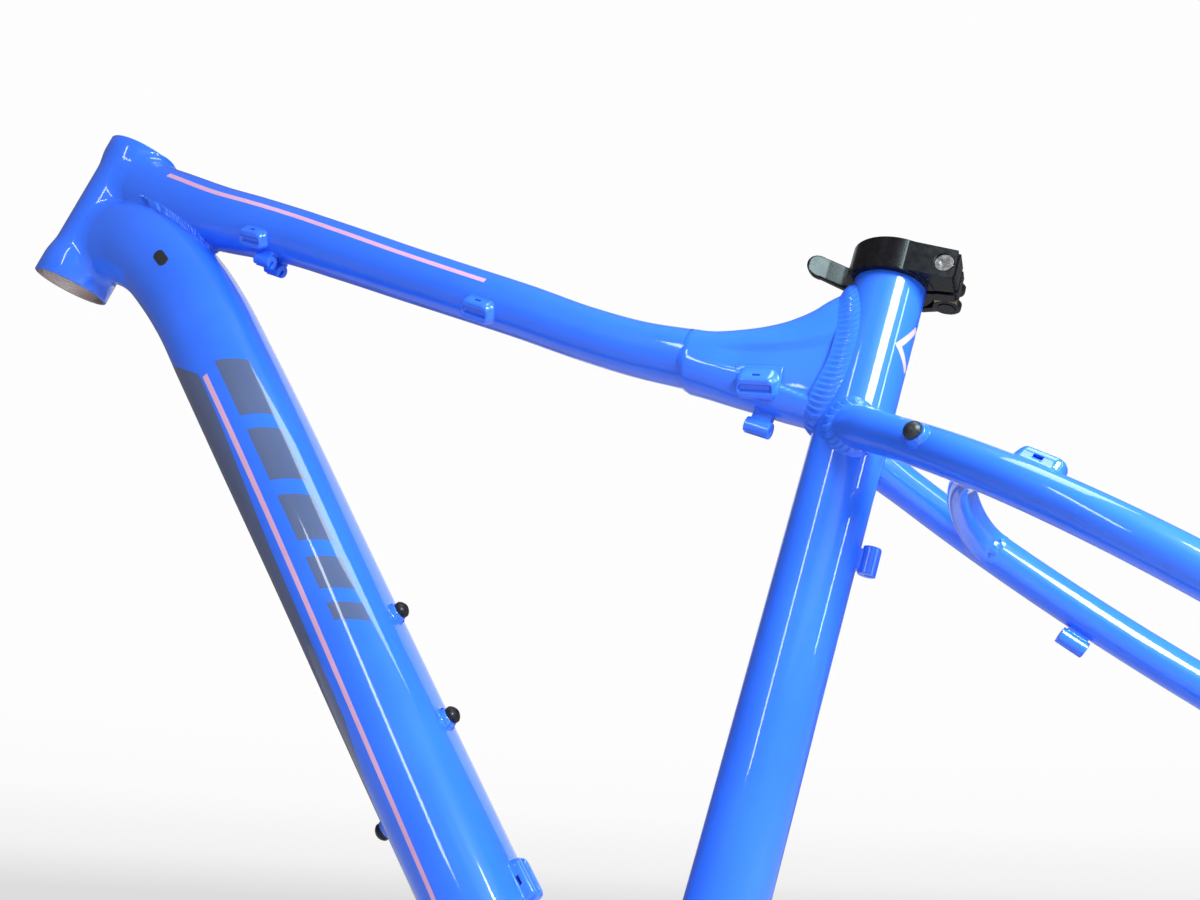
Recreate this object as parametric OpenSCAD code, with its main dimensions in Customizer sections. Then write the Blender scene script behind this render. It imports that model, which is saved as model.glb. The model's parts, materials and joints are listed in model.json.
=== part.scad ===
// Hardtail mountain bicycle frame, millimetres.
// Origin at the centre of the bottom bracket shell, +X forward, +Y to the rider's left, +Z up.

/* [Frame geometry] */
// Angle of the seat tube above the horizontal, degrees
seat_angle = 73.6; // [72.6:0.1:74.6]
// Angle of the head tube above the horizontal, degrees
head_angle = 68.5; // [67.5:0.1:69.5]
// Distance of the lower head tube rim in front of the bottom bracket
head_x = 425; // [415:1:435]
// Height of the lower head tube rim above the bottom bracket
head_z = 495; // [485:1:505]
// Length of the head tube
head_len = 108; // [104:1:116]
// Length of the seat tube from the bottom bracket centre to its top
seat_len = 432; // [428:1:436]
// Distance from the bottom bracket centre to the rear axle
chainstay_len = 440; // [436:1:446]
// Drop of the bottom bracket below the axles
bb_drop = 55; // [50:1:60]
// Clear width between the faces of the two dropouts
rear_spacing = 135; // [134:1:137]

/* [Tubes] */
// Outer diameter of the seat tube
seat_tube_d = 34.9; // [34.5:0.1:35.3]
// Bore of the seat tube, the size of the seat post
seat_post_d = 31.6; // [30.9:0.1:31.8]
// Outer diameter of the head tube at its rims
head_rim_d = 49; // [48:0.5:51]
// Outer diameter of the head tube at its waist
head_waist_d = 45.4; // [44:0.2:46.5]
// Bore for the headset cups
headset_d = 44; // [42:0.1:44.5]
// Wall of the hydroformed tubes
tube_wall = 1.6; // [1.4:0.1:2.2]
// Outer diameter of the bottom bracket shell
shell_d = 40; // [39:0.5:42]
// Width of the bottom bracket shell
shell_w = 73; // [68:1:73]
// Threaded bore of the bottom bracket shell
shell_bore = 34.8; // [34.6:0.1:35]
// Outer radius of the seat stays
stay_r = 9.4; // [9:0.1:9.8]

/* [Fittings] */
// Spacing of the bottle cage bosses
bottle_spacing = 64; // [60:1:68]
// Distance of the middle of the bottle bosses from the bottom bracket
bottle_mid = 253.5; // [240:0.5:270]
// Distance of the lower side boss from the bottom bracket
under_boss_at = 194; // [185:1:205]
// Thread diameter of the bosses
boss_thread = 5; // [4:0.5:5]
// Length of a hose guide
guide_len = 20.5; // [18:0.5:24]
// Width of a hose guide
guide_w = 12; // [10:0.5:13]
// Height of a hose guide above its tube
guide_h = 5.6; // [5.4:0.1:6.5]
// Outer diameter of a cable stop
stop_d = 8.2; // [8:0.1:9]
// Length of a cable stop
stop_len = 13; // [11:0.5:15]

/* [Seat clamp] */
// Height of the clamp collar
collar_h = 16; // [14:0.5:17]
// Wall of the clamp collar
collar_wall = 3.8; // [3:0.1:4.5]
// Distance of the clamp bolt behind the axis of the seat tube
bolt_back = 25.5; // [25:0.1:27]
// Radius of the lever's eye
eye_r = 6.8; // [6.4:0.1:7.2]
// Reach of the lever tip in front of the axis of the seat tube
lever_reach = 46.5; // [38:0.5:50]

/* [Rear end] */
// Thickness of the dropouts
dropout_t = 6; // [5:0.5:7]
// Width of the axle slots
axle_slot = 10.2; // [10:0.1:10.5]
// Spacing of the two disc brake bolts
disc_spacing = 51; // [50:0.5:52]
// Distance of the derailleur thread below the axle
hanger_drop = 28; // [26:0.5:30]

/* [Hidden] */
$fn = 48;

paint = "dodgerblue";
eps = 0.01;
sides = 24;
stay_sides = 16;
left = [0, 1, 0];

// Rear axle, directions of the seat tube and the head tube
axle = [-sqrt(chainstay_len * chainstay_len - bb_drop * bb_drop), 0, bb_drop];
seat_dir = [-cos(seat_angle), 0, sin(seat_angle)];
head_dir = [-cos(head_angle), 0, sin(head_angle)];
head_base = [head_x, 0, head_z];
seat_r = seat_tube_d / 2;
clamp_at = seat_len - collar_h / 2 + 2;

// Side view stations of the tubes, front to rear: x, z, half height, half width
top_stations = [
    [398, 572.8, 22, 20], [348, 548, 21.8, 19], [304, 526, 21, 18.3], [275, 514, 19.6, 18],
    [251, 504, 18, 17.5], [203, 481, 16.8, 17], [157, 458, 15.9, 16.3], [115, 437.4, 15.3, 15.8],
    [77, 418.7, 14.9, 15.4], [40, 399.5, 14.4, 15], [6, 384.3, 14.5, 15.2], [-12, 378, 15, 15.4],
    [-30, 372, 16, 15.6]
];
yoke_stations = [
    [4, 383.6, 15, 15.8], [-10, 378.4, 15.4, 15.8], [-27, 372.1, 16.4, 15.5], [-42, 367.9, 19.4, 15],
    [-57, 364.6, 23, 14.8], [-71, 362.3, 27.6, 14.8], [-84.6, 361.4, 32.5, 15.2], [-106, 363.5, 38, 15.4]
];
down_stations = [
    [402, 529, 29, 20], [371, 517.5, 29.5, 23.5], [347, 500, 28.6, 26], [325, 478, 28.8, 27],
    [304, 452.4, 28.5, 27.3], [278.4, 415.4, 28.3, 27.3], [239, 357.5, 27.6, 27],
    [183, 274, 25.6, 26.4], [130.6, 195.4, 24.2, 26], [61, 91.5, 22, 25.3], [0, 0, 19.5, 24.5]
];
// Butt joint between the top tube and its flared yoke
yoke_joint = [-17, 0, 376];
yoke_joint_tilt = 14;

// Chain stay stations of the left side: x, y, z, half height, half width
chain_stations = [
    [-10, 26.5, 0, 16.5, 9], [-52, 31.5, 2, 16, 9], [-95, 38.5, 6, 14.5, 8.6],
    [-150, 45.5, 12, 12.5, 8.6], [-230, 52, 23, 11.5, 8.6], [-320, 61, 36, 10.5, 8.2],
    [-368, 67, 43.5, 9.5, 7.4], [-404, 70.2, 49, 8, 6.6]
];
// Corners of the left seat stay: at the seat tube, at its bend and at the dropout
stay_top = [-98, 17.4, 323];
stay_bend = [-171, 74.6, 267.8];
stay_end = [-413, 70.2, 80];
stay_bend_in = 0.7;
stay_bend_out = 0.26;
// Places on the bend of the stays, as shares of the bend: rack boss, bridge, hose guide, cable stop
rack_share = 0.12;
bridge_share = 0.33;
guide_share = 0.44;
stop_share = 0.657;

function unit(v) = v / norm(v);
function xyz(r) = [r[0], r[1], r[2]];
function part_of(rows, from, to) = [for (i = [from : to]) rows[i]];
function lerp(a, b, t) = a + (b - a) * t;
function sq(a, p) = sign(a) * pow(abs(a), 2 / p);

// Catmull-Rom blend of four rows of numbers
function blend(a, b, c, d, t) =
    0.5 * (2 * b + (c - a) * t + (2 * a - 5 * b + 4 * c - d) * t * t
    + (3 * b - a - 3 * c + d) * t * t * t);
// Rows with one more between each pair
function refine(rows) = [
    for (i = [0 : len(rows) - 2], half = [0, 1])
        let (a = rows[max(i - 1, 0)], d = rows[min(i + 2, len(rows) - 1)])
            blend(a, rows[i], rows[i + 1], d, half / 2),
    rows[len(rows) - 1]
];
// One closed section, perpendicular to the direction t, with a half height and a half width
function ring(p, t, h, w, n, squareness) =
    let (up = unit([t[2], 0, -t[0]]), side = cross(t, up))
        [for (i = [0 : n - 1]) let (a = 360 * i / n)
            p + up * h * sq(sin(a), squareness) + side * w * sq(cos(a), squareness)];
// Sections of a tube: rows of x, y, z, half height and half width; shrink is taken off the sizes
function rings(rows, n, squareness, shrink = 0) = [
    for (i = [0 : len(rows) - 1])
        let (
            r = rows[i], a = rows[max(i - 1, 0)], b = rows[min(i + 1, len(rows) - 1)],
            t = unit([b[0] - a[0], b[1] - a[1], b[2] - a[2]])
        )
            ring([r[0], r[1], r[2]], t, r[3] - shrink, r[4] - shrink, n, squareness)
];
// Rows of a tube's bore: the same rows with both ends moved out a little
bore_over = 1.5;
function moved(a, b) = concat(xyz(a) + unit(xyz(a) - xyz(b)) * bore_over, [a[3], a[4]]);
function bore_rows(rows) = let (n = len(rows) - 1) concat(
    [moved(rows[0], rows[1])],
    part_of(rows, 1, n - 1),
    [moved(rows[n], rows[n - 1])]
);
function side_view(stations) = [for (s = stations) [s[0], 0, s[1], s[2], s[3]]];
function mirrored(rows, side) = [for (r = rows) [r[0], side * r[1], r[2], r[3], r[4]]];

top_rows = refine(side_view(top_stations));
yoke_rows = refine(side_view(yoke_stations));
down_bends = 6;
down_rows = concat(
    refine(part_of(side_view(down_stations), 0, down_bends - 1)),
    part_of(side_view(down_stations), down_bends, len(down_stations) - 1)
);
chain_rows = refine(chain_stations);

// Points along a seat stay: a straight start, a long bend and a straight end
function stay_row(p) = [p[0], p[1], p[2], stay_r, stay_r];
stay_a = lerp(stay_bend, stay_top, stay_bend_in);
stay_b = lerp(stay_bend, stay_end, stay_bend_out);
bend_steps = 12;
function bend_row(share) = 2 + bend_steps * share;
stay_rows = concat(
    [[-92, 12, 327.5, 8, 4.4], [stay_top[0], stay_top[1], stay_top[2], 9.3, 7.8]],
    [for (i = [0 : bend_steps]) let (t = i / bend_steps)
        stay_row(lerp(lerp(stay_a, stay_bend, t), lerp(stay_bend, stay_b, t), t))],
    [stay_row(lerp(stay_b, stay_end, 0.5))],
    [concat(stay_end, [8.6, 7.4])]
);

// Solid through a list of sections
module skin(sections) {
    n = len(sections[0]);
    last = len(sections) - 1;
    points = [for (s = sections, p = s) p];
    caps = [[for (i = [n - 1 : -1 : 0]) i], [for (i = [0 : n - 1]) last * n + i]];
    walls = [
        for (k = [0 : last - 1], i = [0 : n - 1], half = [0, 1])
            let (j = (i + 1) % n, a = k * n + i, b = k * n + j, c = a + n, d = b + n)
                half == 0 ? [a, b, c] : [b, d, c]
    ];
    polyhedron(points = points, faces = concat(caps, walls));
}
module top_outer(from = 0, to = len(top_rows) - 1) skin(rings(part_of(top_rows, from, to), sides, 2.2));
module yoke_outer() skin(rings(yoke_rows, sides, 2.4));
module down_outer(from = 0, to = len(down_rows) - 1)
    skin(rings(part_of(down_rows, from, to), sides, 2.3));
module stay_outer(side, from = 0, to = len(stay_rows) - 1)
    skin(rings(mirrored(part_of(stay_rows, from, to), side), stay_sides, 2));

// Frames of reference
module on_seat_tube(along) translate(seat_dir * along) rotate([0, seat_angle - 90, 0]) children();
module on_head_tube(along)
    translate(head_base + head_dir * along) rotate([0, head_angle - 90, 0]) children();
module seat_outer(from, to) on_seat_tube(from) cylinder(h = to - from, r = seat_r);
module shell_outer() rotate([90, 0, 0]) cylinder(h = shell_w, d = shell_d, center = true);
// Half space behind (side -1) or in front of (side 1) the butt joint of the yoke
module yoke_half(side) translate(yoke_joint) rotate([0, -yoke_joint_tilt, 0])
    translate([side * 60, 0, 0]) cube([120, 80, 120], center = true);
// Puts its children on a tube: p on the axis, t along the tube, at an angle round it from +Y up
module on_tube(p, t, angle) {
    up = unit([t[2], 0, -t[0]]);
    side = cross(t, up);
    out = side * cos(angle) + up * sin(angle);
    across = cross(out, t);
    multmatrix([
        [t[0], across[0], out[0], p[0]],
        [t[1], across[1], out[1], p[1]],
        [t[2], across[2], out[2], p[2]],
        [0, 0, 0, 1]
    ]) children();
}
function row_point(rows, u) =
    let (i = floor(u), f = u - i, a = rows[i], b = rows[min(i + 1, len(rows) - 1)]) lerp(a, b, f);
function row_dir(rows, u) = let (i = floor(u)) unit(xyz(rows[i + 1]) - xyz(rows[i]));
// Distance from the tube's axis to its surface at an angle round it
function reach(r, angle) = 1 / sqrt(pow(cos(angle) / r[4], 2) + pow(sin(angle) / r[3], 2));

// ---------- main tubes ----------
rim_band = 13;
rim_fade = 16;
cup_depth = 15;
module head_outer() on_head_tube(0) rotate_extrude($fn = 64)
    polygon([
        [0, 0], [head_rim_d / 2 - 0.6, 0], [head_rim_d / 2, 0.6],
        for (s = [0 : 6]) let (t = s / 6, e = (1 - cos(180 * t)) / 2)
            [lerp(head_rim_d, head_waist_d, e) / 2, rim_band + rim_fade * t],
        for (s = [0 : 6]) let (t = s / 6, e = (1 - cos(180 * t)) / 2)
            [lerp(head_waist_d, head_rim_d, e) / 2, head_len - rim_band + 4 - rim_fade * (1 - t)],
        [head_rim_d / 2, head_len - 0.6], [head_rim_d / 2 - 0.6, head_len], [0, head_len]
    ]);
module head_tube() color(paint) difference() {
    head_outer();
    on_head_tube(-eps) cylinder(h = cup_depth, d = headset_d, $fn = 64);
    on_head_tube(head_len - cup_depth) cylinder(h = cup_depth + eps, d = headset_d, $fn = 64);
    on_head_tube(-eps) cylinder(h = head_len + 1, d = headset_d - 5, $fn = 64);
}

module top_tube() color(paint) difference() {
    top_outer();
    skin(rings(bore_rows(top_rows), sides, 2.2, tube_wall));
    head_outer();
    yoke_half(-1);
}

module seat_yoke() color(paint) difference() {
    yoke_outer();
    skin(rings(bore_rows(yoke_rows), sides, 2.4, tube_wall + 0.2));
    yoke_half(1);
    seat_outer(300, seat_len);
}

// Holes of the bosses and the cable port in the down tube
sleeve_r = 3.6;
port_row = 6;
module down_tube() color(paint) difference() {
    down_outer();
    skin(rings(bore_rows(down_rows), sides, 2.3, tube_wall + 0.2));
    head_outer();
    top_outer(0, 8);
    shell_outer();
    seat_outer(0, 120);
    for (s = bottle_places) on_down(s, 90) cylinder(h = 40, r = sleeve_r);
    on_down(under_boss_at, -90) cylinder(h = 40, r = sleeve_r);
    on_port() port_shape(0, 30);
}
bottle_places = [bottle_mid - bottle_spacing / 2, bottle_mid + bottle_spacing / 2];
// Place on the straight stretch of the down tube, at a distance from the bottom bracket
down_dir = unit([278.4, 0, 415.4]);
module on_down(s, angle) on_tube(down_dir * s, -down_dir, angle) children();

// Oval port for the inner cable, on the left of the down tube
port_l = 15;
port_w = 7.6;
module on_port() on_tube(xyz(row_point(down_rows, port_row)), row_dir(down_rows, port_row), 10) children();
module port_shape(z0, z1, grow = 0) translate([0, 0, z0]) linear_extrude(z1 - z0) {
    square([port_l - port_w, port_w + 2 * grow], center = true);
    for (s = [-1, 1]) translate([s * (port_l - port_w) / 2, 0]) circle(d = port_w + 2 * grow);
}
module cable_port_plug() color("black") {
    wall_at = reach(row_point(down_rows, port_row), 10);
    on_port() difference() {
        union() {
            port_shape(wall_at - 3.4, wall_at - 0.6);
            port_shape(wall_at - 5.4, wall_at - 3.4, 1.2);
        }
        translate([1, 0, wall_at - 8]) cylinder(h = 9, d = 4);
    }
}

slot_w = 2.6;
ream_depth = 200;
slot_len = 34;
module seat_tube() color(paint) difference() {
    seat_outer(0, seat_len);
    on_seat_tube(-eps) cylinder(h = seat_len + 1, d = seat_post_d - 1);
    on_seat_tube(seat_len - ream_depth) cylinder(h = ream_depth + 1, d = seat_post_d);
    shell_outer();
    on_seat_tube(seat_len - slot_len) translate([-seat_r, 0, slot_len / 2])
        cube([seat_r, slot_w, slot_len + 1], center = true);
    on_seat_tube(seat_len - slot_len) rotate([0, -90, 0]) cylinder(h = 25, d = 5);
}

module bottom_bracket_shell() color(paint) difference() {
    shell_outer();
    rotate([90, 0, 0]) cylinder(h = shell_w + 1, d = shell_bore, center = true);
}

// ---------- stays ----------
module seat_stay(side) color(paint) difference() {
    bore = part_of(bore_rows(mirrored(stay_rows, side)), 0, len(stay_rows) - 2);
    stay_outer(side);
    skin(rings(bore, stay_sides, 2, tube_wall));
    seat_outer(280, 370);
    dropout_blank(side, 0.02);
}
module seat_stay_left() seat_stay(1);
module seat_stay_right() seat_stay(-1);

module chain_stay(side) color(paint) difference() {
    bore = part_of(bore_rows(mirrored(chain_rows, side)), 0, len(chain_rows) - 2);
    skin(rings(mirrored(chain_rows, side), stay_sides, 2.4));
    skin(rings(bore, stay_sides, 2.4, tube_wall));
    shell_outer();
    seat_outer(0, 80);
    dropout_blank(side, 0.02);
}
module chain_stay_left() chain_stay(1);
module chain_stay_right() chain_stay(-1);

// Arched bridge between the seat stays: an arc from stay to stay, bulging towards the seat tube
bridge_end = [-155, 52, 280];
bridge_rise = 15;
bridge_steps = 14;
bridge_lift = unit([0.8, 0, 0.6]);
bridge_rows = [
    for (i = [0 : bridge_steps]) let (a = -1 + 2 * i / bridge_steps, y = -bridge_end[1] * sin(90 * a))
        concat([bridge_end[0], y, bridge_end[2]] + bridge_lift * bridge_rise * cos(90 * a), [5, 8.6])
];
// Sections of the bridge stand across its arc, with their long side along the stays
function bridge_rings(shrink) = [
    for (i = [0 : bridge_steps])
        let (
            r = bridge_rows[i], a = bridge_rows[max(i - 1, 0)], b = bridge_rows[min(i + 1, bridge_steps)],
            t = unit(xyz(b) - xyz(a)), wide = unit(cross(bridge_lift, left)), up = cross(wide, t)
        )
            [for (k = [0 : stay_sides - 1]) let (q = 360 * k / stay_sides)
                xyz(r) + up * (r[3] - shrink) * sin(q) + wide * (r[4] - shrink) * cos(q)]
];
module seat_stay_bridge() color(paint) difference() {
    skin(bridge_rings(0));
    scale([1, 1.03, 1]) skin(bridge_rings(tube_wall));
    for (side = [-1, 1]) stay_outer(side, 1, 13);
}

chain_bridge_at = [-72, 0, 4];
module chain_stay_bridge() color(paint) difference() {
    translate(chain_bridge_at) rotate([90, 0, 0]) cylinder(h = 70, d = 16, center = true);
    translate(chain_bridge_at) rotate([90, 0, 0]) cylinder(h = 71, d = 12.8, center = true);
    for (side = [-1, 1]) skin(rings(mirrored(part_of(chain_rows, 0, 6), side), stay_sides, 2.4));
}

// ---------- rear end ----------
drop_mid = rear_spacing / 2 + dropout_t / 2;
ring_r = 15;
// Outline of a dropout round the axle at the origin, x forward and z up as y
module dropout_outline() {
    circle(r = ring_r);
    polygon([[-8, 11], [4, 12], [34, 38], [28, 45], [10, 34], [-2, 26]]);
    polygon([[5, 12.5], [10, 4], [10, -8.5], [42, -12], [60, -6], [60, 4], [34, 4]]);
    translate([14, -6]) circle(r = 8);
}
module dropout_plate(side) translate([axle[0], side * drop_mid, axle[2]]) rotate([90, 0, 0])
    linear_extrude(dropout_t, center = true) dropout_outline();
module dropout_blank(side, grow) translate([axle[0], side * drop_mid, axle[2]]) rotate([90, 0, 0])
    linear_extrude(dropout_t + 2 * grow, center = true) dropout_outline();
slot_angle = -70;
module axle_cut() {
    cylinder(h = 40, d = axle_slot, center = true);
    rotate([0, 0, slot_angle]) translate([20, 0, 0]) cube([40, axle_slot - 0.12, 40], center = true);
}
module dropout(side) color(paint) difference() {
    dropout_plate(side);
    translate([axle[0], side * drop_mid, axle[2]]) rotate([90, 0, 0]) axle_cut();
    translate([axle[0] + 22, side * drop_mid, axle[2] + 16]) rotate([90, 0, 0])
        cylinder(h = 20, d = 7, center = true);
    if (side < 0) for (p = hanger_screws) translate([axle[0] + p[0], side * drop_mid, axle[2] + p[1]])
        rotate([90, 0, 0]) cylinder(h = 20, d = hanger_screw_d, center = true);
}
module dropout_left() dropout(1);
module dropout_right() dropout(-1);

// Flat tab with the two disc brake bolt holes, above the left seat stay
tab_t = 6;
tab_y = rear_spacing / 2 - tab_t / 2;
disc_low = [-413, 106];
disc_dir = [0.775, 0.632];
disc_high = disc_low + disc_dir * disc_spacing;
function tab_point(along, out) = disc_low + disc_dir * along + [-disc_dir[1], disc_dir[0]] * out;
// Rounded outline round one bolt hole, between two angles from the line of the holes
tab_r = 7.6;
tab_turn = atan2(disc_dir[1], disc_dir[0]);
function tab_lug(centre, from, to) = [
    for (i = [0 : 10]) let (a = tab_turn + lerp(from, to, i / 10)) centre + tab_r * [cos(a), sin(a)]
];
module disc_brake_tab() color(paint) difference() {
    translate([0, tab_y, 0]) rotate([90, 0, 0]) linear_extrude(tab_t, center = true) polygon(concat(
        tab_lug(disc_low, 190, 45),
        [tab_point(15, -1.4), tab_point(disc_spacing - 15, -1.4)],
        tab_lug(disc_high, 135, -10),
        [tab_point(disc_spacing + 10, -14), tab_point(-4, -14)]
    ));
    for (p = [disc_low, disc_high]) translate([p[0], tab_y, p[1]]) rotate([90, 0, 0])
        cylinder(h = 20, d = 6.2, center = true);
    stay_outer(1, 13, len(stay_rows) - 1);
}

// Replaceable hanger on the outer face of the right dropout
hanger_t = 4;
hanger_thread = [-7, -hanger_drop];
hanger_screws = [[17, -3], [10, 10.5]];
hanger_screw_d = 4.2;
module hanger_place()
    translate([axle[0], -rear_spacing / 2 - dropout_t, axle[2]]) rotate([90, 0, 0]) children();
module derailleur_hanger() color("silver") hanger_place() difference() {
    union() {
        linear_extrude(hanger_t) {
            circle(r = 12.6);
            translate([13, 0]) circle(r = 8.5);
            polygon([[-11.5, 0], [-15, hanger_thread[1]], [1, hanger_thread[1]], [6, -10]]);
        }
        translate([hanger_thread[0], hanger_thread[1], -2]) cylinder(h = hanger_t + 4, r = 9);
    }
    axle_cut();
    translate([hanger_thread[0], hanger_thread[1], 0]) cylinder(h = 30, d = 10, center = true);
    for (p = hanger_screws) translate([p[0], p[1], 0]) cylinder(h = 30, d = hanger_screw_d, center = true);
}
module hanger_bolts() color("dimgray") hanger_place() for (p = hanger_screws) translate([p[0], p[1], 0])
    difference() {
        union() {
            translate([0, 0, -dropout_t]) cylinder(h = dropout_t + hanger_t, d = hanger_screw_d);
            translate([0, 0, hanger_t]) cylinder(h = 1.6, d = 7);
        }
        translate([0, 0, hanger_t + 0.5]) cylinder(h = 2, d = 2.5, $fn = 6);
    }

// ---------- hose guides and cable stops ----------
// Hump with a channel for the hose and a hole across it for a tie; z is away from the tube
module hose_guide(foot) difference() {
    rotate([90, 0, 0]) linear_extrude(guide_w, center = true) {
        translate([0, -foot / 2]) square([guide_len, foot], center = true);
        translate([0, (guide_h - 4) / 2]) square([guide_len, guide_h - 4 + eps], center = true);
        translate([0, guide_h - 2]) square([guide_len - 8, 4], center = true);
        for (s = [-1, 1]) translate([s * (guide_len / 2 - 4), guide_h - 4]) circle(r = 4);
    }
    translate([0, 0, guide_h - 0.2]) rotate([0, 90, 0])
        cylinder(h = guide_len + 2, r = 2.5, center = true);
    translate([0, 0, 1.4]) cube([4.8, guide_w + 2, 2], center = true);
}
module top_guide(u, angle, from, to) color(paint) difference() {
    r = row_point(top_rows, u);
    on_tube(xyz(r), row_dir(top_rows, u), angle) translate([0, 0, reach(r, angle)]) hose_guide(5);
    top_outer(from, to);
}
guide_angle = -45;
module hose_guide_front() top_guide(7.4, guide_angle, 5, 10);
module hose_guide_middle() top_guide(15, guide_angle, 13, 18);
module hose_guide_rear() color(paint) difference() {
    r = row_point(yoke_rows, 8);
    on_tube(xyz(r), row_dir(yoke_rows, 8), -48) translate([0, 0, reach(r, -48) + 0.8]) hose_guide(6);
    yoke_outer();
}
module hose_guide_seat_stay() color(paint) difference() {
    u = bend_row(guide_share);
    on_tube(xyz(row_point(stay_rows, u)), row_dir(stay_rows, u), 97)
        translate([0, 0, stay_r]) hose_guide(5);
    stay_outer(1, 3, 11);
}
down_guide_at = 136;
module hose_guide_down_tube() color(paint) difference() {
    on_down(down_guide_at, 88) translate([0, 0, 22.6]) hose_guide(5);
    down_outer(12, 15);
}

// Slotted barrel with a seat for the housing and a hole for the cable, along x; z is away from the tube
stop_gap = 1.2;
stop_rise = stop_d / 2 + stop_gap;
module cable_stop(foot) difference() {
    union() {
        translate([0, 0, stop_rise]) rotate([0, 90, 0]) cylinder(h = stop_len, d = stop_d, center = true);
        translate([0, 0, (stop_rise - foot) / 2]) cube([stop_len - 3, 5, stop_rise + foot], center = true);
    }
    translate([-stop_len / 2 - eps, 0, stop_rise]) rotate([0, 90, 0]) cylinder(h = 9, d = 5.2);
    translate([0, 0, stop_rise]) rotate([0, 90, 0]) cylinder(h = stop_len + 1, d = 2, center = true);
    translate([0, 0, stop_rise + 5]) cube([stop_len + 1, 1.8, 10], center = true);
}
module under_top_stop(u, across, from, to) color(paint) difference() {
    r = row_point(top_rows, u);
    on_tube(xyz(r), row_dir(top_rows, u), -90) translate([0, across, r[3] - 0.4]) cable_stop(5);
    top_outer(from, to);
}
front_stop_gap = 5.4;
module cable_stop_front_left() under_top_stop(8.1, -front_stop_gap, 5, 11);
module cable_stop_front_right() under_top_stop(8.1, front_stop_gap, 5, 11);
module cable_stop_rear() color(paint) difference() {
    on_tube([-54.3, 0, 338.9], unit([-1, 0, -0.46]), -90) cable_stop(8);
    yoke_outer();
}
seat_stop_at = 281;
module cable_stop_seat_tube() color(paint) difference() {
    on_tube(seat_dir * seat_stop_at, -seat_dir, 90) translate([0, 0, seat_r]) cable_stop(5);
    seat_outer(seat_stop_at - 20, seat_stop_at + 20);
}
module cable_stop_seat_stay() color(paint) difference() {
    rows = mirrored(stay_rows, -1);
    u = bend_row(stop_share);
    on_tube(xyz(row_point(rows, u)), row_dir(rows, u), -90) translate([0, 0, stay_r]) cable_stop(5);
    stay_outer(-1, 6, 13);
}

// ---------- threaded bosses and their bolts ----------
boss_r = 5.6;
boss_h = 3;
module boss(surface) difference() {
    translate([0, 0, surface - 1.5]) cylinder(h = 1.5 + boss_h, r1 = boss_r + 1, r2 = boss_r - 1);
    cylinder(h = 80, r = boss_thread / 2);
}
module sleeve(surface) difference() {
    translate([0, 0, surface - 8]) cylinder(h = 8 + boss_h - 0.5, r = sleeve_r);
    cylinder(h = 80, r = boss_thread / 2);
}
module dome_bolt(surface) difference() {
    union() {
        translate([0, 0, surface - 7]) cylinder(h = 7 + boss_h, r = boss_thread / 2);
        translate([0, 0, surface + boss_h]) cylinder(h = 2, r = 4.4);
        translate([0, 0, surface + boss_h + 2]) intersection() {
            translate([0, 0, -2.4]) sphere(r = 5.01, $fn = 40);
            cylinder(h = 4, r = 4.4);
        }
    }
    translate([0, 0, surface + boss_h + 2.2]) cylinder(h = 4, d = 3, $fn = 6);
}
upper_surface = [24, 25];
module bottle_bosses() color(paint) for (i = [0, 1]) {
    difference() {
        on_down(bottle_places[i], 90) boss(upper_surface[i]);
        down_outer(9, 14);
    }
    on_down(bottle_places[i], 90) sleeve(upper_surface[i]);
}
module bottle_boss_bolts() color("black") for (i = [0, 1]) on_down(bottle_places[i], 90)
    dome_bolt(upper_surface[i]);
under_surface = 23.6;
module under_boss() color(paint) {
    difference() {
        on_down(under_boss_at, -90) boss(under_surface);
        down_outer(11, 15);
    }
    on_down(under_boss_at, -90) sleeve(under_surface);
}
module under_boss_bolt() color("black") on_down(under_boss_at, -90) dome_bolt(under_surface);

// Rack bosses on the outer side of the seat stays
module on_rack(side) {
    rows = mirrored(stay_rows, side);
    u = bend_row(rack_share);
    on_tube(xyz(row_point(rows, u)), row_dir(rows, u), side > 0 ? 0 : 180) children();
}
module rack_boss(side) color(paint) difference() {
    on_rack(side) difference() {
        translate([0, 0, stay_r - 2.5]) cylinder(h = 2.5 + 2.6, r1 = 6.2, r2 = 4.8);
        cylinder(h = 40, r = boss_thread / 2);
    }
    stay_outer(side, 1, 8);
}
module rack_boss_cap(side) color("black") on_rack(side) {
    translate([0, 0, stay_r + 0.4]) cylinder(h = 2.3, r = boss_thread / 2);
    translate([0, 0, stay_r + 2.6]) cylinder(h = 1.6, r = 4.1);
    translate([0, 0, stay_r + 4.2]) intersection() {
        translate([0, 0, -1.8]) sphere(r = 4.48, $fn = 40);
        cylinder(h = 4, r = 4.1);
    }
}
module rack_boss_left() rack_boss(1);
module rack_boss_right() rack_boss(-1);
module rack_boss_cap_left() rack_boss_cap(1);
module rack_boss_cap_right() rack_boss_cap(-1);

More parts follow.
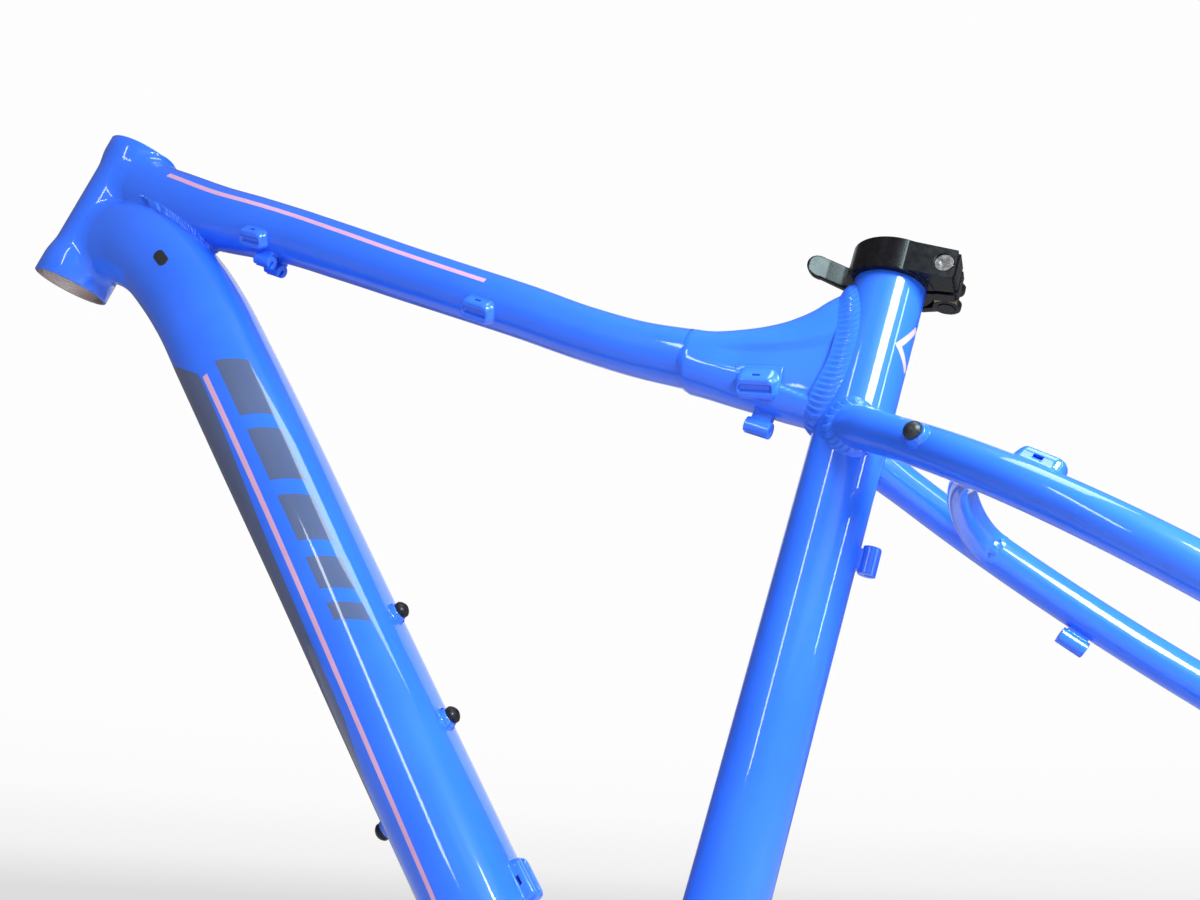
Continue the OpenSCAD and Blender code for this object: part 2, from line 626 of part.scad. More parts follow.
// ---------- quick release seat clamp ----------
fit = 0.08;
collar_r = seat_r + fit + collar_wall;
ear_left = 14;
ear_right = -8;
ear_gap = 3;
ear_end = bolt_back + 6.5;
barrel_y = -17;
barrel_r = 4;
bolt_r = 2.5;
module on_clamp() on_seat_tube(clamp_at) children();
module clamp_collar() color([0.08, 0.08, 0.09]) on_clamp() difference() {
    union() {
        cylinder(h = collar_h, r = collar_r, center = true, $fn = 64);
        linear_extrude(collar_h - 0.8, center = true) polygon([
            [-4, collar_r - 0.7], [-ear_end + 1.5, ear_left + 0.5], [-ear_end + 1.5, ear_right], [-4, ear_right]
        ]);
        translate([-ear_end + 2.5, (ear_left + ear_right) / 2, 0])
            cube([5, ear_left - ear_right, collar_h - 4], center = true);
    }
    cylinder(h = collar_h + 1, r = seat_r + fit, center = true, $fn = 64);
    translate([-bolt_back, 0, 0]) cube([2 * bolt_back - 20, ear_gap, collar_h + 1], center = true);
    translate([-bolt_back, 0, 0]) rotate([90, 0, 0]) cylinder(h = 60, r = bolt_r + 0.2, center = true);
    translate([-bolt_back, ear_left - 3.4, 0]) rotate([-90, 0, 0]) cylinder(h = 10, r = 4.6);
}
module clamp_bolt() color("silver") on_clamp()
    translate([-bolt_back, 0, 0]) rotate([-90, 0, 0]) difference() {
        union() {
            translate([0, 0, barrel_y - 3]) cylinder(h = ear_left - 3.3 - barrel_y + 3, r = bolt_r);
            translate([0, 0, ear_left - 3.3]) cylinder(h = 4.6, r = 4.25);
        }
        translate([0, 0, ear_left - 1]) cylinder(h = 5, d = 4.6, $fn = 6);
    }
module clamp_barrel() color("dimgray") on_clamp() translate([-bolt_back, barrel_y, 0]) difference() {
    cylinder(h = collar_h - 2.6, r = barrel_r, center = true);
    rotate([90, 0, 0]) cylinder(h = 20, r = bolt_r + 0.06, center = true);
}
// Dished washer between the right ear and the lever's eye
module clamp_washer() color("gold") on_clamp() difference() {
    translate([-bolt_back, (ear_right + barrel_y) / 2, 0])
        cube([11, ear_right - barrel_y, collar_h - 3], center = true);
    translate([-bolt_back, barrel_y, 0]) cylinder(h = collar_h, r = eye_r + 0.15, center = true);
    translate([-bolt_back, 0, 0]) rotate([90, 0, 0]) cylinder(h = 60, r = bolt_r + 0.2, center = true);
}
// Middle line of the lever blade, from its eye round the right side to its tip
blade_start = [-bolt_back + 1, barrel_y - 1];
blade_side = [2, -34];
blade_tip = [lever_reach, -10];
blade_steps = 10;
function blade_mid(t) = lerp(lerp(blade_start, blade_side, t), lerp(blade_side, blade_tip, t), t);
function blade_out(t) =
    let (d = unit(blade_mid(min(t + 0.02, 1)) - blade_mid(max(t - 0.02, 0)))) [d[1], -d[0]];
function blade_half(t) = lerp(2.4, 1.7, t);
function blade_edge(t, side) = blade_mid(t) + blade_out(t) * blade_half(t) * side;
module lever_blade() {
    outer = [for (i = [0 : blade_steps]) blade_edge(i / blade_steps, 1)];
    inner = [for (i = [blade_steps : -1 : 0]) blade_edge(i / blade_steps, -1)];
    intersection() {
        translate([0, 0, -8]) linear_extrude(24) union() {
            polygon(concat(outer, inner));
            translate(blade_tip) circle(r = blade_half(1));
        }
        // side outline: rounded tip, a little higher at the tip than at the eye
        rotate([90, 0, 0]) linear_extrude(80, center = true) union() {
            polygon([
                [-bolt_back - 9, -6], [0, -6], [lever_reach - 7, 1], [lever_reach - 1, 5.6],
                [lever_reach - 3, 11.6], [lever_reach - 9, 12.4], [4, 7.2], [-bolt_back - 9, 6.2]
            ]);
            translate([lever_reach - 5.5, 6.8]) circle(r = 6);
        }
    }
}
eye_half = collar_h / 2 - 1.6;
module clamp_lever() color([0.08, 0.08, 0.09]) on_clamp() difference() {
    union() {
        translate([-bolt_back, barrel_y, 0]) cylinder(h = 2 * eye_half, r = eye_r, center = true);
        lever_blade();
    }
    translate([-bolt_back, barrel_y, 0]) cylinder(h = collar_h, r = barrel_r + 0.1, center = true);
    // slot that lets the bolt pass as the lever swings
    translate([-bolt_back, barrel_y, 0]) difference() {
        cylinder(h = 6, r = 12, center = true);
        translate([12.9, -4, 0]) cube([20, 28, 8], center = true);
    }
}

head_tube();
top_tube();
seat_yoke();
down_tube();
seat_tube();
bottom_bracket_shell();
seat_stay_left();
seat_stay_right();
chain_stay_left();
chain_stay_right();
seat_stay_bridge();
chain_stay_bridge();
dropout_left();
dropout_right();
disc_brake_tab();
derailleur_hanger();
hanger_bolts();
hose_guide_front();
hose_guide_middle();
hose_guide_rear();
hose_guide_seat_stay();
hose_guide_down_tube();
cable_stop_front_left();
cable_stop_front_right();
cable_stop_rear();
cable_stop_seat_tube();
cable_stop_seat_stay();
bottle_bosses();
bottle_boss_bolts();
under_boss();
under_boss_bolt();
rack_boss_left();
rack_boss_right();
rack_boss_cap_left();
rack_boss_cap_right();
cable_port_plug();
clamp_collar();
clamp_bolt();
clamp_barrel();
clamp_washer();
clamp_lever();
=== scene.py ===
"""Looks of a hardtail bicycle frame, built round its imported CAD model."""
import json
import math
import bmesh
import bpy
import numpy as np
from mathutils import Matrix, Vector


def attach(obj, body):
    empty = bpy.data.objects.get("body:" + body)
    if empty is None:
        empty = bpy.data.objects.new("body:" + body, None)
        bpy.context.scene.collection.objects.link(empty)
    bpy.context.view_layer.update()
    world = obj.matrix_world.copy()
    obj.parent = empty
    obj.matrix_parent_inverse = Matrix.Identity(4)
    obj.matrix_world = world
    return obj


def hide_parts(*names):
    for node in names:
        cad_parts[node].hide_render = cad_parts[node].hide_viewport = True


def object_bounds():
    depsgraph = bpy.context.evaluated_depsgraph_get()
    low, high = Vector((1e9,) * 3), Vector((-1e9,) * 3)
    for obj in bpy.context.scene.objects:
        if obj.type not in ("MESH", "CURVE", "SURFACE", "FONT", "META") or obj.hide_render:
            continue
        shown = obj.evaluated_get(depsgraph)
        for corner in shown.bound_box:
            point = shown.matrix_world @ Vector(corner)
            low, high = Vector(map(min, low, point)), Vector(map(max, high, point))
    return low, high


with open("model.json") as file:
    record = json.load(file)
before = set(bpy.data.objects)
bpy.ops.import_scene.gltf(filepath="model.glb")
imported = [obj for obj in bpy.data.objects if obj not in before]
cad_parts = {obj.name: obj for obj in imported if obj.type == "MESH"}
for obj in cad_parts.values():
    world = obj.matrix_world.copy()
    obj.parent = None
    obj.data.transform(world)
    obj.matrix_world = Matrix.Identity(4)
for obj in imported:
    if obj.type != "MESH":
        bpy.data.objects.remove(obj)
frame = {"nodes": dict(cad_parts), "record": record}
CAD_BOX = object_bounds()
NODES = frame["nodes"]
MOUNTS = {m["name"]: m for m in frame["record"]["mounts"]}
MM = 0.001

# ---------------------------------------------------------------- directions and places
SEAT_DIR = np.array(MOUNTS["seat_post"]["axis"], float)
HEAD_DIR = np.array(MOUNTS["headset_upper"]["axis"], float)
HEADSET_DEPTH = 7.5
HEAD_BASE = np.array(MOUNTS["headset_lower"]["pos_m"]) / MM - HEAD_DIR * HEADSET_DEPTH
HEAD_LEN = 108.0
HEAD_R = 24.5
HEAD_WAIST = 1.8
SEAT_R = 17.45
SHELL_R = 20.0
SEAT_LEN = 432.0
LEFT = np.array([0, 1.0, 0])
FORWARD = np.array([SEAT_DIR[2], 0, -SEAT_DIR[0]])

# Side view stations in millimetres, front to rear: x, z, half height, half width.
# They repeat those of part.scad.
TOP = [
    (398, 572.8, 22, 20), (348, 548, 21.8, 19), (304, 526, 21, 18.3), (275, 514, 19.6, 18),
    (251, 504, 18, 17.5), (203, 481, 16.8, 17), (157, 458, 15.9, 16.3), (115, 437.4, 15.3, 15.8),
    (77, 418.7, 14.9, 15.4), (40, 399.5, 14.4, 15), (6, 384.3, 14.5, 15.2), (-12, 378, 15, 15.4),
    (-30, 372, 16, 15.6),
]
YOKE = [
    (4, 383.6, 15, 15.8), (-10, 378.4, 15.4, 15.8), (-27, 372.1, 16.4, 15.5), (-42, 367.9, 19.4, 15),
    (-57, 364.6, 23, 14.8), (-71, 362.3, 27.6, 14.8), (-84.6, 361.4, 32.5, 15.2), (-106, 363.5, 38, 15.4),
]
DOWN = [
    (402, 529, 29, 20), (371, 517.5, 29.5, 23.5), (347, 500, 28.6, 26), (325, 478, 28.8, 27),
    (304, 452.4, 28.5, 27.3), (278.4, 415.4, 28.3, 27.3), (239, 357.5, 27.6, 27),
    (183, 274, 25.6, 26.4), (130.6, 195.4, 24.2, 26), (61, 91.5, 22, 25.3), (0, 0, 19.5, 24.5),
]
# The left chain stay, front to rear: x, y, z, half height, half width
CHAIN = [
    (-10, 26.5, 0, 16.5, 9), (-52, 31.5, 2, 16, 9), (-95, 38.5, 6, 14.5, 8.6),
    (-150, 45.5, 12, 12.5, 8.6), (-230, 52, 23, 11.5, 8.6), (-320, 61, 36, 10.5, 8.2),
    (-368, 67, 43.5, 9.5, 7.4), (-404, 70.2, 49, 8, 6.6),
]
STAY_TOP = np.array([-98, 17.4, 323.0])
STAY_BEND = np.array([-171, 74.6, 267.8])
STAY_END = np.array([-413, 70.2, 80.0])
STAY_R = 9.4
BEND_STEPS = 12


def unit(v):
    v = np.asarray(v, float)
    return v / np.linalg.norm(v, axis=-1, keepdims=True)


def side_view(rows):
    """Stations of a tube that lies in the middle plane of the frame."""
    return np.array([(x, 0, z, h, w) for x, z, h, w in rows], float)


def stay_rows(side):
    """Stations of a seat stay: its flattened top, a round bend and a straight run to the dropout."""
    a = STAY_BEND + (STAY_TOP - STAY_BEND) * 0.7
    b = STAY_BEND + (STAY_END - STAY_BEND) * 0.26
    rows = [(-92, 12, 327.5, 8.0, 4.4), (*STAY_TOP, 9.3, 7.8)]
    for i in range(BEND_STEPS + 1):
        t = i / BEND_STEPS
        p = (1 - t) ** 2 * a + 2 * t * (1 - t) * STAY_BEND + t * t * b
        rows.append((*p, STAY_R, STAY_R))
    for t in (0.2, 0.5, 0.8):
        rows.append((*(b + (STAY_END - b) * t), STAY_R, STAY_R))
    rows.append((*STAY_END, 8.6, 7.4))
    rows = np.array(rows, float)
    rows[:, 1] *= side
    return rows


class Tube:
    """A loft through stations: a smooth surface over u (along, in rows) and a (round, in degrees)."""

    def __init__(self, rows, squareness=2.0):
        self.rows = np.array(rows, float)
        self.p = squareness
        n = len(self.rows)
        self.gap = np.linalg.norm(np.diff(self.rows[:, :3], axis=0), axis=1)
        secant = np.diff(self.rows, axis=0) / self.gap[:, None]
        self.slopes = np.vstack([secant[:1], np.zeros((n - 2, self.rows.shape[1])), secant[-1:]])
        for k in range(1, n - 1):
            g0, g1 = self.gap[k - 1], self.gap[k]
            self.slopes[k] = (secant[k - 1] * g1 + secant[k] * g0) / (g0 + g1)
        fine = np.linspace(0, n - 1, (n - 1) * 24 + 1)
        pts = self.row(fine)[:, :3]
        step = np.linalg.norm(np.diff(pts, axis=0), axis=1)
        self.fine, self.arc = fine, np.concatenate([[0], np.cumsum(step)])
        self.length = self.arc[-1]
        self.path = pts

    def row(self, u):
        """Station at u, on a cubic whose slopes allow for uneven gaps between the stations."""
        u = np.atleast_1d(np.asarray(u, float))
        i = np.clip(np.floor(u).astype(int), 0, len(self.rows) - 2)
        t = (u - i)[:, None]
        g = self.gap[i][:, None]
        return ((2 * t ** 3 - 3 * t ** 2 + 1) * self.rows[i] + (t ** 3 - 2 * t ** 2 + t) * g * self.slopes[i]
                + (3 * t ** 2 - 2 * t ** 3) * self.rows[i + 1] + (t ** 3 - t ** 2) * g * self.slopes[i + 1])

    def s_of(self, u):
        return float(np.interp(u, self.fine, self.arc))

    def u_of(self, s):
        return np.interp(s, self.arc, self.fine)

    def frames(self, s):
        """Centre, tangent, up and side at arc length s in millimetres."""
        s = np.atleast_1d(np.asarray(s, float))
        c = self.row(self.u_of(s))
        e = 0.6
        q0 = self.row(self.u_of(np.clip(s - e, 0, self.length)))[:, :3]
        q1 = self.row(self.u_of(np.clip(s + e, 0, self.length)))[:, :3]
        t = unit(q1 - q0)
        up = unit(np.stack([t[:, 2], 0 * t[:, 0], -t[:, 0]], 1))
        return c, t, up, np.cross(t, up)

    def at(self, s, a, lift=0.0):
        """Points of the surface, lift millimetres proud, for arrays s and a of one length."""
        s, a = np.broadcast_arrays(np.atleast_1d(np.asarray(s, float)), np.atleast_1d(np.asarray(a, float)))
        c, t, up, side = self.frames(s)
        ca, sa = np.cos(np.radians(a)), np.sin(np.radians(a))
        e = 2 / self.p
        x = np.sign(ca) * np.abs(ca) ** e
        y = np.sign(sa) * np.abs(sa) ** e
        h, w = c[:, 3] + lift, c[:, 4] + lift
        return c[:, :3] + up * (h * y)[:, None] + side * (w * x)[:, None]

    def inside(self, q):
        """About how far each point is outside this tube, in millimetres; negative inside."""
        q = np.atleast_2d(q)
        k = np.argmin(np.linalg.norm(q[:, None, :] - self.path[None, ::6, :], axis=2), axis=1)
        c, t, up, side = self.frames(self.arc[::6][k])
        d = q - c[:, :3]
        x = np.sum(d * side, 1) / c[:, 4]
        y = np.sum(d * up, 1) / c[:, 3]
        r = (np.abs(x) ** self.p + np.abs(y) ** self.p) ** (1 / self.p)
        return (r - 1) * np.minimum(c[:, 3], c[:, 4])


def out_of_cylinder(q, base, axis, radius):
    q = np.atleast_2d(q) - base
    along = q @ axis
    return np.linalg.norm(q - along[:, None] * axis, axis=1) - radius


def flare(k):
    """How much thinner the head tube is after k of the 8 steps from its end to its waist."""
    return HEAD_WAIST * (1 - math.cos(math.pi * k / 8)) / 2


HEAD_PROFILE = [(0, HEAD_R), (13, HEAD_R)]
HEAD_PROFILE += [(13 + 2 * k, HEAD_R - flare(k)) for k in range(1, 9)]
HEAD_PROFILE += [(83 + 2 * k, HEAD_R - HEAD_WAIST + flare(k)) for k in range(9)]
HEAD_PROFILE += [(HEAD_LEN, HEAD_R)]


def head_radius(along):
    return np.interp(along, [p[0] for p in HEAD_PROFILE], [p[1] for p in HEAD_PROFILE])


def out_of_head(q):
    q = np.atleast_2d(q) - HEAD_BASE
    along = q @ HEAD_DIR
    return np.linalg.norm(q - along[:, None] * HEAD_DIR, axis=1) - head_radius(along)


def out_of_seat(q):
    return out_of_cylinder(q, np.zeros(3), SEAT_DIR, SEAT_R)


def out_of_shell(q):
    return out_of_cylinder(q, np.zeros(3), LEFT, SHELL_R)


top_tube = Tube(side_view(TOP), 2.2)
yoke = Tube(side_view(YOKE), 2.4)
down_tube = Tube(side_view(DOWN), 2.3)
stays = {1: Tube(stay_rows(1)), -1: Tube(stay_rows(-1))}
chains = {}
for side_sign in (1, -1):
    rows = np.array(CHAIN, float)
    rows[:, 1] *= side_sign
    chains[side_sign] = Tube(rows, 2.4)


# ---------------------------------------------------------------- mesh making
def to_object(name, verts_mm, faces, mat):
    """A smooth piece of the frame body from points in millimetres."""
    me = bpy.data.meshes.new(name)
    me.from_pydata([tuple(v * MM) for v in np.asarray(verts_mm)], [], faces)
    me.validate()
    me.polygons.foreach_set("use_smooth", [True] * len(me.polygons))
    me.update()
    o = bpy.data.objects.new(name, me)
    bpy.context.scene.collection.objects.link(o)
    me.materials.append(mat)
    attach(o, "frame")
    return o


def grid_faces(m, n, closed=True):
    """Faces of m rows of n points; a closed grid joins each row's last point to its first."""
    faces = []
    for i in range(m - 1):
        for k in range(n if closed else n - 1):
            j = (k + 1) % n
            faces.append((i * n + k, i * n + j, (i + 1) * n + j, (i + 1) * n + k))
    return faces


def crossing(tube, a, fn, s_in, s_out, offset=0.0):
    """Arc length on each column a where fn, the distance outside the parent, passes offset.

    s_in is an arc length inside the parent and s_out one outside it.
    """
    lo, hi = np.full(len(a), float(s_in)), np.full(len(a), float(s_out))
    scan = np.linspace(0, 1, 61)
    vals = np.stack([fn(tube.at(lo + (hi - lo) * t, a)) - offset for t in scan])
    inside = vals < 0
    last = inside.shape[0] - 1 - np.argmax(inside[::-1], axis=0)
    last = np.where(inside.any(axis=0), last, 0)
    a0 = lo + (hi - lo) * scan[last]
    a1 = lo + (hi - lo) * scan[np.minimum(last + 1, 60)]
    for _ in range(24):
        mid = (a0 + a1) / 2
        negative = fn(tube.at(mid, a)) - offset < 0
        a0, a1 = np.where(negative, mid, a0), np.where(negative, a1, mid)
    return (a0 + a1) / 2


def smoothstep(lo, hi, x):
    """Smooth step from 0 at lo to 1 at hi; lo may be the larger."""
    t = np.clip((np.asarray(x, float) - lo) / (hi - lo), 0, 1)
    return t * t * (3 - 2 * t)


def tube_object(name, tube, cut0, cut1, mat, columns=128, spacing=3.0, relief=None):
    """Skin of a tube between two cuts. A cut is an arc length, or one per column."""
    a = np.arange(columns) * 360 / columns
    c0 = np.full(columns, float(cut0)) if np.isscalar(cut0) else cut0
    c1 = np.full(columns, float(cut1)) if np.isscalar(cut1) else cut1
    m = int(abs(np.mean(c1) - np.mean(c0)) / spacing) + 2
    rings = []
    for t in np.linspace(0, 1, m):
        s = c0 + (c1 - c0) * t
        rings.append(tube.at(s, a, relief(s, a) if relief else 0.0))
    verts = np.concatenate(rings)
    o = to_object(name, verts, grid_faces(m, columns), mat)
    fix_normals(o)
    return o


def fix_normals(o):
    bm = bmesh.new()
    bm.from_mesh(o.data)
    bmesh.ops.recalc_face_normals(bm, faces=bm.faces)
    bm.to_mesh(o.data)
    bm.free()


def gradient(fn, q):
    """How fn grows along x, y and z at each point, by central differences."""
    step = 0.05
    axes = np.eye(3) * step
    return np.stack([(fn(q + d) - fn(q - d)) / (2 * step) for d in axes], 1)


def nearest_on(fn, q):
    """Moves points onto the surface where fn is zero, along fn's own slope."""
    q = np.array(q, float)
    for _ in range(12):
        f = fn(q)
        g = gradient(fn, q)
        q -= g * (f / np.maximum(np.sum(g * g, 1), 1e-6))[:, None]
    return q


def slope(fn, q):
    return unit(gradient(fn, q))


def weld(name, tube, fn, a, s_cross, out_sign, reach_tube, reach_parent, mat,
         bulge=0.0, ripple=0.0, pitch=2.3, segs=10):
    """Fillet or beaded weld between a tube and the surface where fn is zero, along s_cross."""
    lean = 0.45
    w = tube.at(s_cross, a)
    q = tube.at(s_cross + out_sign * reach_tube, a)
    n_parent = slope(fn, w)
    along = unit(np.roll(w, -1, 0) - np.roll(w, 1, 0))
    side = unit(np.cross(along, n_parent))
    centre = tube.frames(s_cross)[0][:, :3]
    flip = np.sign(np.sum(side * (w - centre), 1))
    side = side * flip[:, None]
    p = nearest_on(fn, w + side * np.broadcast_to(np.asarray(reach_parent, float), len(w))[:, None])
    n_mid = unit(unit(q - w) + side)
    step = np.linalg.norm(np.diff(w, axis=0), axis=1)
    dist = np.concatenate([[0], np.cumsum(step)])
    total = dist[-1] + np.linalg.norm(w[0] - w[-1])
    count = max(1, round(total / pitch))
    bulge = np.broadcast_to(np.asarray(bulge, float), len(w))
    ripple = np.broadcast_to(np.asarray(ripple, float), len(w))
    phase = dist / total * count
    rings = []
    for i in range(segs + 1):
        t = i / segs
        lift = bulge * math.sin(math.pi * t)
        saw = (phase + lean * math.sin(math.pi * t)) % 1.0
        wave = np.where(saw < 0.75, saw / 0.75, (1 - saw) / 0.25)
        amount = lift + ripple * math.sin(math.pi * t) * (wave - 0.5)
        base = (1 - t) ** 2 * q + 2 * t * (1 - t) * w + t * t * p
        rings.append(base + n_mid * amount[:, None])
    verts = np.concatenate(rings)
    o = to_object(name, verts, grid_faces(segs + 1, len(a)), mat)
    fix_normals(o)
    return o


# ---------------------------------------------------------------- materials
def material(name):
    m = bpy.data.materials.new(name)
    m.use_nodes = True
    nt = m.node_tree
    return m, nt, nt.nodes["Principled BSDF"]


def noise_node(nt, scale, detail=4.0, rough=0.55):
    tc = nt.nodes.new("ShaderNodeTexCoord")
    n = nt.nodes.new("ShaderNodeTexNoise")
    n.inputs["Scale"].default_value = scale
    n.inputs["Detail"].default_value = detail
    n.inputs["Roughness"].default_value = rough
    nt.links.new(tc.outputs["Object"], n.inputs["Vector"])
    return n


def ramp(nt, source, stops):
    r = nt.nodes.new("ShaderNodeValToRGB")
    r.color_ramp.elements[0].position, r.color_ramp.elements[0].color = stops[0][0], stops[0][1]
    r.color_ramp.elements[1].position, r.color_ramp.elements[1].color = stops[-1][0], stops[-1][1]
    for pos, col in stops[1:-1]:
        e = r.color_ramp.elements.new(pos)
        e.color = col
    nt.links.new(source, r.inputs["Fac"])
    return r


def map_range(nt, source, low, high, to_low, to_high):
    n = nt.nodes.new("ShaderNodeMapRange")
    for key, v in (("From Min", low), ("From Max", high), ("To Min", to_low), ("To Max", to_high)):
        n.inputs[key].default_value = v
    nt.links.new(source, n.inputs["Value"])
    return n.outputs["Result"]


def bump(nt, height, strength, distance, bsdf):
    b = nt.nodes.new("ShaderNodeBump")
    b.inputs["Strength"].default_value = strength
    b.inputs["Distance"].default_value = distance
    nt.links.new(height, b.inputs["Height"])
    nt.links.new(b.outputs["Normal"], bsdf.inputs["Normal"])
    return b


def gloss_paint(name, colour, colour2, coat=1.0):
    """Sprayed gloss paint: a faint orange peel, a little colour drift and dust that dulls the coat."""
    m, nt, b = material(name)
    drift = noise_node(nt, 14.0, 3.0)
    r = ramp(nt, drift.outputs["Fac"], [(0.35, (*colour, 1)), (0.65, (*colour2, 1))])
    nt.links.new(r.outputs["Color"], b.inputs["Base Color"])
    grain = noise_node(nt, 260.0, 2.0)
    nt.links.new(map_range(nt, grain.outputs["Fac"], 0.3, 0.7, 0.30, 0.38), b.inputs["Roughness"])
    b.inputs["Specular IOR Level"].default_value = 0.15
    b.inputs["Coat Weight"].default_value = coat
    b.inputs["Coat Roughness"].default_value = 0.035
    b.inputs["Coat IOR"].default_value = 1.5
    peel = noise_node(nt, 420.0, 2.0, 0.5)
    bp = bump(nt, peel.outputs["Fac"], 0.12, 0.00008, b)
    nt.links.new(bp.outputs["Normal"], b.inputs["Coat Normal"])
    return m


BLUE = gloss_paint("frame_blue", (0.023, 0.132, 0.80), (0.028, 0.147, 0.86))
BAND_GREY = gloss_paint("decal_grey", (0.075, 0.094, 0.190), (0.088, 0.108, 0.212), 0.9)
STRIPE_PINK = gloss_paint("decal_salmon", (0.62, 0.30, 0.46), (0.70, 0.36, 0.52), 0.8)
CHEVRON_PINK = gloss_paint("decal_pale_pink", (0.60, 0.38, 0.40), (0.66, 0.43, 0.45), 0.8)


def bare_alloy(name):
    """Reamed aluminium: fine turning rings across the head tube's axis."""
    m, nt, b = material(name)
    tc = nt.nodes.new("ShaderNodeTexCoord")
    mp = nt.nodes.new("ShaderNodeMapping")
    mp.inputs["Rotation"].default_value = (0, math.radians(21.5), 0)
    mp.inputs["Scale"].default_value = (4, 4, 2600)
    nt.links.new(tc.outputs["Object"], mp.inputs["Vector"])
    n = nt.nodes.new("ShaderNodeTexNoise")
    n.inputs["Scale"].default_value = 1.0
    n.inputs["Detail"].default_value = 3.0
    nt.links.new(mp.outputs["Vector"], n.inputs["Vector"])
    r = ramp(nt, n.outputs["Fac"], [(0.3, (0.24, 0.18, 0.17, 1)), (0.7, (0.52, 0.41, 0.39, 1))])
    nt.links.new(r.outputs["Color"], b.inputs["Base Color"])
    b.inputs["Metallic"].default_value = 1.0
    nt.links.new(map_range(nt, n.outputs["Fac"], 0.3, 0.7, 0.22, 0.34), b.inputs["Roughness"])
    bump(nt, n.outputs["Fac"], 0.3, 0.00005, b)
    return m


def black_gloss(name, base=0.004, rough=(0.20, 0.30), scale=300.0):
    m, nt, b = material(name)
    n = noise_node(nt, scale, 3.0)
    dark, light = (base, base * 0.8, base * 0.95, 1), (base * 1.8, base * 1.35, base * 1.7, 1)
    r = ramp(nt, n.outputs["Fac"], [(0.3, dark), (0.7, light)])
    nt.links.new(r.outputs["Color"], b.inputs["Base Color"])
    nt.links.new(map_range(nt, n.outputs["Fac"], 0.3, 0.7, *rough), b.inputs["Roughness"])
    b.inputs["Specular IOR Level"].default_value = 0.12
    b.inputs["Coat Weight"].default_value = 0.06
    b.inputs["Coat Roughness"].default_value = 0.08
    bump(nt, n.outputs["Fac"], 0.10, 0.00005, b)
    return m


def rubber(name):
    m, nt, b = material(name)
    n = noise_node(nt, 900.0, 4.0, 0.65)
    r = ramp(nt, n.outputs["Fac"], [(0.3, (0.008, 0.008, 0.009, 1)), (0.75, (0.022, 0.021, 0.022, 1))])
    nt.links.new(r.outputs["Color"], b.inputs["Base Color"])
    nt.links.new(map_range(nt, n.outputs["Fac"], 0.3, 0.7, 0.30, 0.52), b.inputs["Roughness"])
    bump(nt, n.outputs["Fac"], 0.25, 0.0001, b)
    return m


def bright_steel(name, tint=(0.66, 0.63, 0.62)):
    m, nt, b = material(name)
    n = noise_node(nt, 700.0, 3.0)
    r = ramp(nt, n.outputs["Fac"], [(0.3, (*[c * 0.8 for c in tint], 1)), (0.7, (*tint, 1))])
    nt.links.new(r.outputs["Color"], b.inputs["Base Color"])
    b.inputs["Metallic"].default_value = 1.0
    nt.links.new(map_range(nt, n.outputs["Fac"], 0.3, 0.7, 0.18, 0.34), b.inputs["Roughness"])
    bump(nt, n.outputs["Fac"], 0.2, 0.00005, b)
    return m


ALLOY = bare_alloy("bare_alloy")
CLAMP_BLACK = black_gloss("clamp_black")
BOLT_BLACK = black_gloss("bolt_black", 0.014, (0.22, 0.36), 800.0)
RUBBER = rubber("black_rubber")
STEEL = bright_steel("bright_steel")
BRASS = bright_steel("washer_brass", (0.24, 0.17, 0.09))

# ---------------------------------------------------------------- tubes
COLS = 192
ang = np.arange(COLS) * 360 / COLS
YOKE_JOINT = np.array([-17.0, 0, 376.0])
YOKE_TILT = math.radians(14)


def out_of_yoke_plane(q):
    q = np.atleast_2d(q) - YOKE_JOINT
    return q @ np.array([math.cos(YOKE_TILT), 0, math.sin(YOKE_TILT)])


def folded(a):
    """Angle round a tube as seen on its left half, -90 below to 90 above."""
    a = (np.asarray(a, float) + 180) % 360 - 180
    a = np.where(a > 90, 180 - a, a)
    return np.where(a < -90, -180 - a, a)


# top tube
t_head = crossing(top_tube, ang, out_of_head, 0, 120)
t_rear = crossing(top_tube, ang, out_of_yoke_plane, top_tube.length, top_tube.length - 80, -1.0)
tube_object("top_tube_skin", top_tube, crossing(top_tube, ang, out_of_head, 0, 120, -1.0), t_rear,
            BLUE, COLS)

# yoke: a pressed three-cornered panel on each side, and a lip where it meets the top tube
def behind_yoke_plane(q):
    return -out_of_yoke_plane(q)


y_front = crossing(yoke, ang, behind_yoke_plane, 0, 60)


def yoke_relief(s, a):
    f = folded(a)
    low = np.interp(s, [30, 54, 88, 112], [-13, -17, -40, -44])
    high = np.interp(s, [30, 58, 102, 120], [10, 12, 12, 14])
    inside = smoothstep(0, 3.2, f - low) * (1 - smoothstep(-6, 6, f - high))
    panel = -2.2 * inside * smoothstep(28, 66, s)
    from_front = s - np.interp(np.asarray(a, float) % 360, ang, y_front, period=360)
    lip = 0.75 * smoothstep(0.35, -0.25, np.sin(np.radians(f))) * np.exp(-np.maximum(from_front, 0) / 38)
    return panel + lip - 0.9 * (1 - smoothstep(0.0, 3.2, from_front))


y_rear = crossing(yoke, ang, out_of_seat, yoke.length, yoke.length - 60, -1.0)
tube_object("seat_yoke_skin", yoke, y_front, y_rear, BLUE, COLS, 1.2, yoke_relief)


# down tube, cut by the head tube and by the top tube
def out_of_front(q):
    return np.minimum(out_of_head(q), top_tube.inside(q))


d_shell = crossing(down_tube, ang, out_of_shell, down_tube.length, down_tube.length - 80)
tube_object("down_tube_skin", down_tube, crossing(down_tube, ang, out_of_front, 0, 190, -1.0),
            crossing(down_tube, ang, out_of_shell, down_tube.length, down_tube.length - 80, -1.0), BLUE, COLS)

